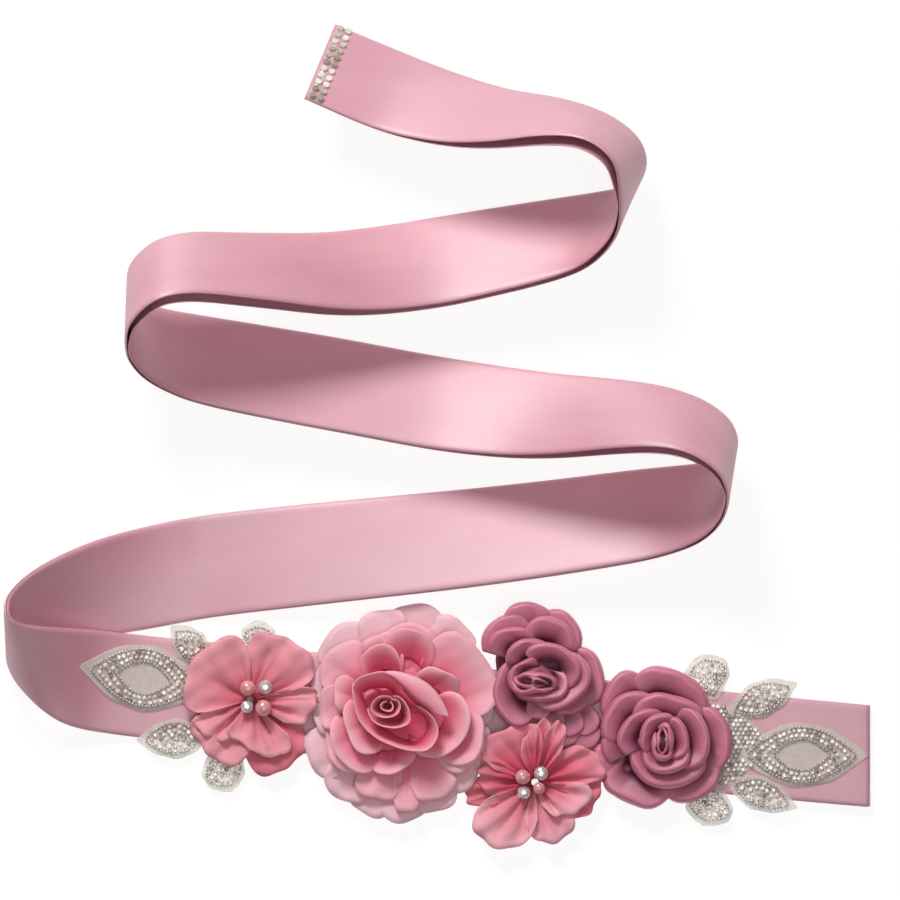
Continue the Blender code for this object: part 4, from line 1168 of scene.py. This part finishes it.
def leaf_spots(ribbon, places, lift, rng):
    """Where stones or beads are set: each a little off its place, tilted, turned and sized."""
    spots = []
    for x, y in places:
        tilt = rng.normal(0.0, SETTING_SPREAD, 2)
        first = PLAN_X + np.array([0.0, 0.0, tilt[0]])
        first /= np.linalg.norm(first)
        second = np.cross(np.cross(first, PLAN_Y + np.array([0.0, 0.0, tilt[1]])), first)
        second /= np.linalg.norm(second)
        jitter = rng.normal(0.0, SETTING_SPREAD, 2)
        centre = np.array([x + jitter[0], y + jitter[1], belt_top(ribbon, x, y) + lift])
        spots.append((centre, first, second, rng.uniform(0.0, math.tau), rng.uniform(0.92, 1.08)))
    return spots


def add_organza(name, surface, look, *nodes):
    """A piece of organza from its upper face, laid on the belt."""
    surface = np.array(surface)
    under = surface - np.array([0.0, 0.0, ORGANZA_THICKNESS])
    piece = add_sheet(name, surface, under, look, {"Cloth": surface_lengths(surface)})
    settle(piece, "crystal_applique", *nodes)
    declare_sheet(surface)


def leaf_backing(ribbon, row, look):
    """The organza under a leaf, with a soft waved margin past the beads."""
    root, length, ahead, aside = leaf_axes(row)
    surface = []
    for share in np.linspace(0.0, 1.0, 31):
        line = []
        half = leaf_half(row, share) + 0.25 * math.sin(share * 19.0)
        for across in np.linspace(-1.0, 1.0, 15):
            place = root + ahead * length * share + aside * half * across
            line.append((*place, belt_top(ribbon, *place) + LEAF_LIFT
                         + 0.12 * math.sin(share * 23.0 + across * 3.0)))
        surface.append(line)
    add_organza(f"{row[0]}_organza", surface, look, row[0])


def make_leaf(ribbon, row, looks, rng):
    name, width, is_open = row[0], row[5], row[-1]
    leaf_backing(ribbon, row, looks["organza"])
    if is_open:
        seed_rows, stone_rows = OPEN_SEED_ROWS, OPEN_STONE_ROWS
    else:
        seed_rows = (CLOSED_SEED_ROW,)
        stone_rows = np.arange(CLOSED_STONE_START, width / 2 - 0.4, STONE_ROW)
    seeds, stones = [], []
    for inset in seed_rows:
        outline = leaf_outline(row, inset, SEED_PITCH)
        seeds += leaf_spots(ribbon, outline, STONE_LIFT + SEED_LIFT, rng)
    for inset in stone_rows:
        stones += leaf_spots(ribbon, leaf_outline(row, inset, STONE_PITCH), STONE_LIFT, rng)
    add_copies(f"{name}_stones", LEAF_STONE, stones, looks["stone"], "crystal_applique")
    add_copies(f"{name}_seed_beads", ball(7, 5, SEED_RADIUS), seeds, looks["silver"],
               "crystal_applique", True)


# Stones between the roots of the right leaves, on organza of their own beside the second satin
# rose; those at a leaf's margin lie on the leaf
ROOT_BOX = (108.0, 127.0, -137.5, -104.5)
ROOT_MARGIN = 1.6
ROOT_LIFT = 0.16


def inside_leaf(x, y, margin):
    """Whether a place lies within a leaf's outline drawn in by a margin."""
    for row in LEAVES:
        root, length, ahead, aside = leaf_axes(row)
        along = float(np.dot([x, y] - root, ahead))
        off = abs(float(np.dot([x, y] - root, aside)))
        half = leaf_half(row, along / length)
        if margin < along < length - margin and off < half - margin:
            return True
    return False


def root_reach(y):
    """How far the root cluster reaches to the right at a height on plan."""
    low_x, high_x, low_y, high_y = ROOT_BOX
    return low_x + (high_x - low_x) * math.sin(math.pi * (y - low_y) / (high_y - low_y)) ** 0.7


def make_roots(ribbon, looks, rng):
    low_x, high_x, low_y, high_y = ROOT_BOX
    surface = []
    for y in np.linspace(low_y + 1.0, high_y - 1.0, 21):
        line = np.linspace(low_x, root_reach(y) + 0.8, 13)
        surface.append([(x, y, belt_top(ribbon, x, y) + ROOT_LIFT) for x in line])
    add_organza("leaf_roots_organza", surface, looks["organza"])
    spots = []
    for row, y in enumerate(np.arange(low_y, high_y, STONE_ROW)):
        for x in np.arange(low_x + (row % 2) * STONE_PITCH / 2, high_x, STONE_PITCH):
            if x < root_reach(y) and not inside_leaf(x, y, ROOT_MARGIN):
                lift = STONE_LIFT if inside_leaf(x, y, 0.0) else ROOT_LIFT
                spots += leaf_spots(ribbon, [(x, y)], lift, rng)
    add_copies("leaf_roots_stones", LEAF_STONE, spots, looks["stone"], "crystal_applique")


# Large beads at the small flowers' middles, each where its solid is
BEADS = ("bead_1_pearl_1", "bead_1_crystal_1", "bead_1_crystal_2", "bead_1_pearl_2",
         "bead_2_pearl_1", "bead_2_crystal_1", "bead_2_pearl_2", "bead_2_crystal_2")
BEAD_SIDES = 10
BEAD_RINGS = (
    # radius and level as shares of the bead's radius, turn in shares of a side
    (0.72, -0.6, 0.0), (1.0, -0.2, 0.5), (1.0, 0.2, 0.0), (0.72, 0.6, 0.5),
    (0.36, 0.74, 0.0),
)


def faceted_bead(radius):
    """A rondelle cut in rows of facets."""
    return faceted([(radius * size, radius * level, turn) for size, level, turn in BEAD_RINGS],
                   BEAD_SIDES)


def make_beads(looks, rng):
    for name in BEADS:
        low, high = (np.array(corner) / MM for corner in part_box(name))
        centre, radius = (low + high) / 2, float(high[2] - low[2]) / 2
        pearl = "pearl" in name
        shape = ball(28, 18, radius) if pearl else faceted_bead(radius)
        spot = [(centre, PLAN_X, PLAN_Y, rng.uniform(0.0, math.tau), 1.0)]
        piece = add_copies(f"{name}_cut", shape, spot, looks["pearl" if pearl else "crystal"],
                           "pearl" if pearl else "crystal_bead", smooth=pearl)
        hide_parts(name)


# The stage: a pale floor, a camera straight above and studio light
def make_stage(look):
    """The floor that the belt lies on, and colours shown as they are."""
    bpy.context.scene.view_settings.view_transform = "Standard"
    bpy.ops.mesh.primitive_plane_add(size=8.0, location=(0.0, 0.0, -0.0004))
    floor = bpy.context.object
    floor.name = "floor"
    floor.data.materials.append(look)


LIGHTS = (
    # name, place and aim in metres, size, power, colour
    ("key", (-0.42, 1.2, 1.05), (0.0, 0.0, 0.0), 0.6, 22.5, (1.0, 0.99, 0.98)),
    ("fill", (0.2, -0.3, 1.6), (0.0, -0.05, 0.0), 1.0, 6.0, (1.0, 0.98, 0.98)),
)
PHOTO_PIXELS = 900.0
PIXELS_PER_MM = 2.55
PHOTO_ORIGIN = (438.0, 436.5)
CAMERA_HEIGHT = 8000.0
SENSOR = 36.0


def from_photo(column, row):
    """A place on the table from its place in the photograph."""
    return ((column - PHOTO_ORIGIN[0]) / PIXELS_PER_MM, (PHOTO_ORIGIN[1] - row) / PIXELS_PER_MM)


def make_camera():
    data = bpy.data.cameras.new("camera")
    data.sensor_width = SENSOR
    data.lens = SENSOR * CAMERA_HEIGHT / (PHOTO_PIXELS / PIXELS_PER_MM)
    data.clip_end = 20.0
    camera = bpy.data.objects.new("camera", data)
    x, y = from_photo(PHOTO_PIXELS / 2, PHOTO_PIXELS / 2)
    camera.location = (x * MM, y * MM, CAMERA_HEIGHT * MM)
    bpy.context.scene.collection.objects.link(camera)
    bpy.context.scene.camera = camera


def add_light(name, place, aim, size, power, colour):
    data = bpy.data.lights.new(name, "AREA")
    data.shape = "DISK"
    data.size = size
    data.energy = power
    data.color = colour
    light = bpy.data.objects.new(name, data)
    light.location = place
    light.rotation_euler = (Vector(aim) - Vector(place)).to_track_quat("-Z", "Y").to_euler()
    bpy.context.scene.collection.objects.link(light)


def make_world():
    """A studio that is bright overhead and dark at its horizon, for the satin to reflect."""
    world = bpy.data.worlds.new("studio")
    world.use_nodes = True
    tree = world.node_tree
    way = node(tree, "ShaderNodeSeparateXYZ",
               Vector=tree.nodes.new("ShaderNodeTexCoord").outputs["Generated"])
    sky = ramp(tree, way.outputs["Z"], ((0.0, (0.03, 0.026, 0.026)), (0.3, (0.09, 0.085, 0.085)),
                                        (0.75, (0.22, 0.21, 0.21))))
    tree.links.new(sky, tree.nodes["Background"].inputs["Color"])
    tree.nodes["Background"].inputs["Strength"].default_value = 1.0
    bpy.context.scene.world = world


def make_lights():
    make_world()
    for row in LIGHTS:
        add_light(*row)


# The whole belt: its looks, then every piece in turn
SATIN_PINK = (0.67, 0.305, 0.38)
SATIN_PINK_DEEP = (0.62, 0.26, 0.335)
SATIN_MAUVE = (0.63, 0.18, 0.28)
SATIN_MAUVE_DEEP = (0.55, 0.14, 0.23)
# Painted shade: a near-black mauve for the feet of the satin petals and for the rounds under the satin
# roses
SATIN_MAUVE_PAINTED_SHADE = (0.16, 0.02, 0.06)
LOOKS = {
    "satin": satin_look("satin_pink", SATIN_PINK, SATIN_PINK_DEEP, 0.52, 0.9),
    "mauve": satin_look("satin_mauve", SATIN_MAUVE, SATIN_MAUVE_DEEP, 0.48, 0.5,
                        SATIN_MAUVE_PAINTED_SHADE),
    "mauve_painted_shade": satin_look("satin_mauve_painted_shade", SATIN_MAUVE_PAINTED_SHADE, SATIN_MAUVE_PAINTED_SHADE, 0.6, 0.3),
    # Chiffon looks: root, middle and rim colours, the dark root painted shade and the pale rim painted
    # light, then how opaque
    "chiffon_pale": chiffon_look("chiffon_pale", (0.76, 0.16, 0.27), (0.90, 0.41, 0.50),
                                 (0.97, 0.62, 0.69), 0.88),
    "chiffon": chiffon_look("chiffon_pink", (0.68, 0.06, 0.14), (0.88, 0.26, 0.36),
                            (0.96, 0.49, 0.57), 0.94),
    "chiffon_deep": chiffon_look("chiffon_rose_deep", (0.56, 0.035, 0.10), (0.82, 0.17, 0.27),
                                 (0.94, 0.41, 0.49), 1.0),
    "coral": chiffon_look("chiffon_coral", (0.56, 0.08, 0.13), (0.80, 0.26, 0.32),
                          (0.88, 0.37, 0.43), 0.96),
    "coral_deep": chiffon_look("chiffon_coral_deep", (0.34, 0.015, 0.045), (0.58, 0.08, 0.13),
                               (0.77, 0.21, 0.27), 0.98),
    "deep_coral": chiffon_look("chiffon_deep_coral", (0.46, 0.025, 0.075), (0.76, 0.14, 0.21),
                               (0.88, 0.30, 0.38), 0.96),
    "coral_pale": chiffon_look("chiffon_pale_coral", (0.47, 0.03, 0.085), (0.83, 0.26, 0.34),
                               (0.93, 0.45, 0.52), 0.94),
    "organza": organza_look(),
    "stone": stone_look("crystal_stone", (0.36, 0.29, 0.23), (0.97, 0.93, 0.87), 0.14),
    "silver": silver_look(),
    "pearl": pearl_look(),
    "crystal": crystal_look(),
}
rng = np.random.default_rng(SEED)
ribbon = make_ribbon(LOOKS["satin"])
make_tail_trim(ribbon, LOOKS, rng)
for leaf in LEAVES:
    make_leaf(ribbon, leaf, LOOKS, rng)
make_roots(ribbon, LOOKS, rng)
make_chiffon_rose(LOOKS)
make_satin_rose("satin_rose_1", SATIN_1_CENTRE, SATIN_1_PETALS, SATIN_1_HEART, SATIN_1_FOLDS,
                LOOKS["mauve"], LOOKS["mauve_painted_shade"])
make_satin_rose("satin_rose_2", SATIN_2_CENTRE, SATIN_2_PETALS, SATIN_2_HEART, SATIN_2_FOLDS,
                LOOKS["mauve"], LOOKS["mauve_painted_shade"])
make_tucks(LOOKS["mauve"])
make_small_flower("small_flower_1", SMALL_1_CENTRE, SMALL_1_PETALS, LOOKS, "chiffon_coral")
make_small_flower("small_flower_2", SMALL_2_CENTRE, SMALL_2_PETALS, LOOKS, "chiffon_deep_coral")
make_beads(LOOKS, rng)
make_stage(floor_look())
make_camera()
make_lights()
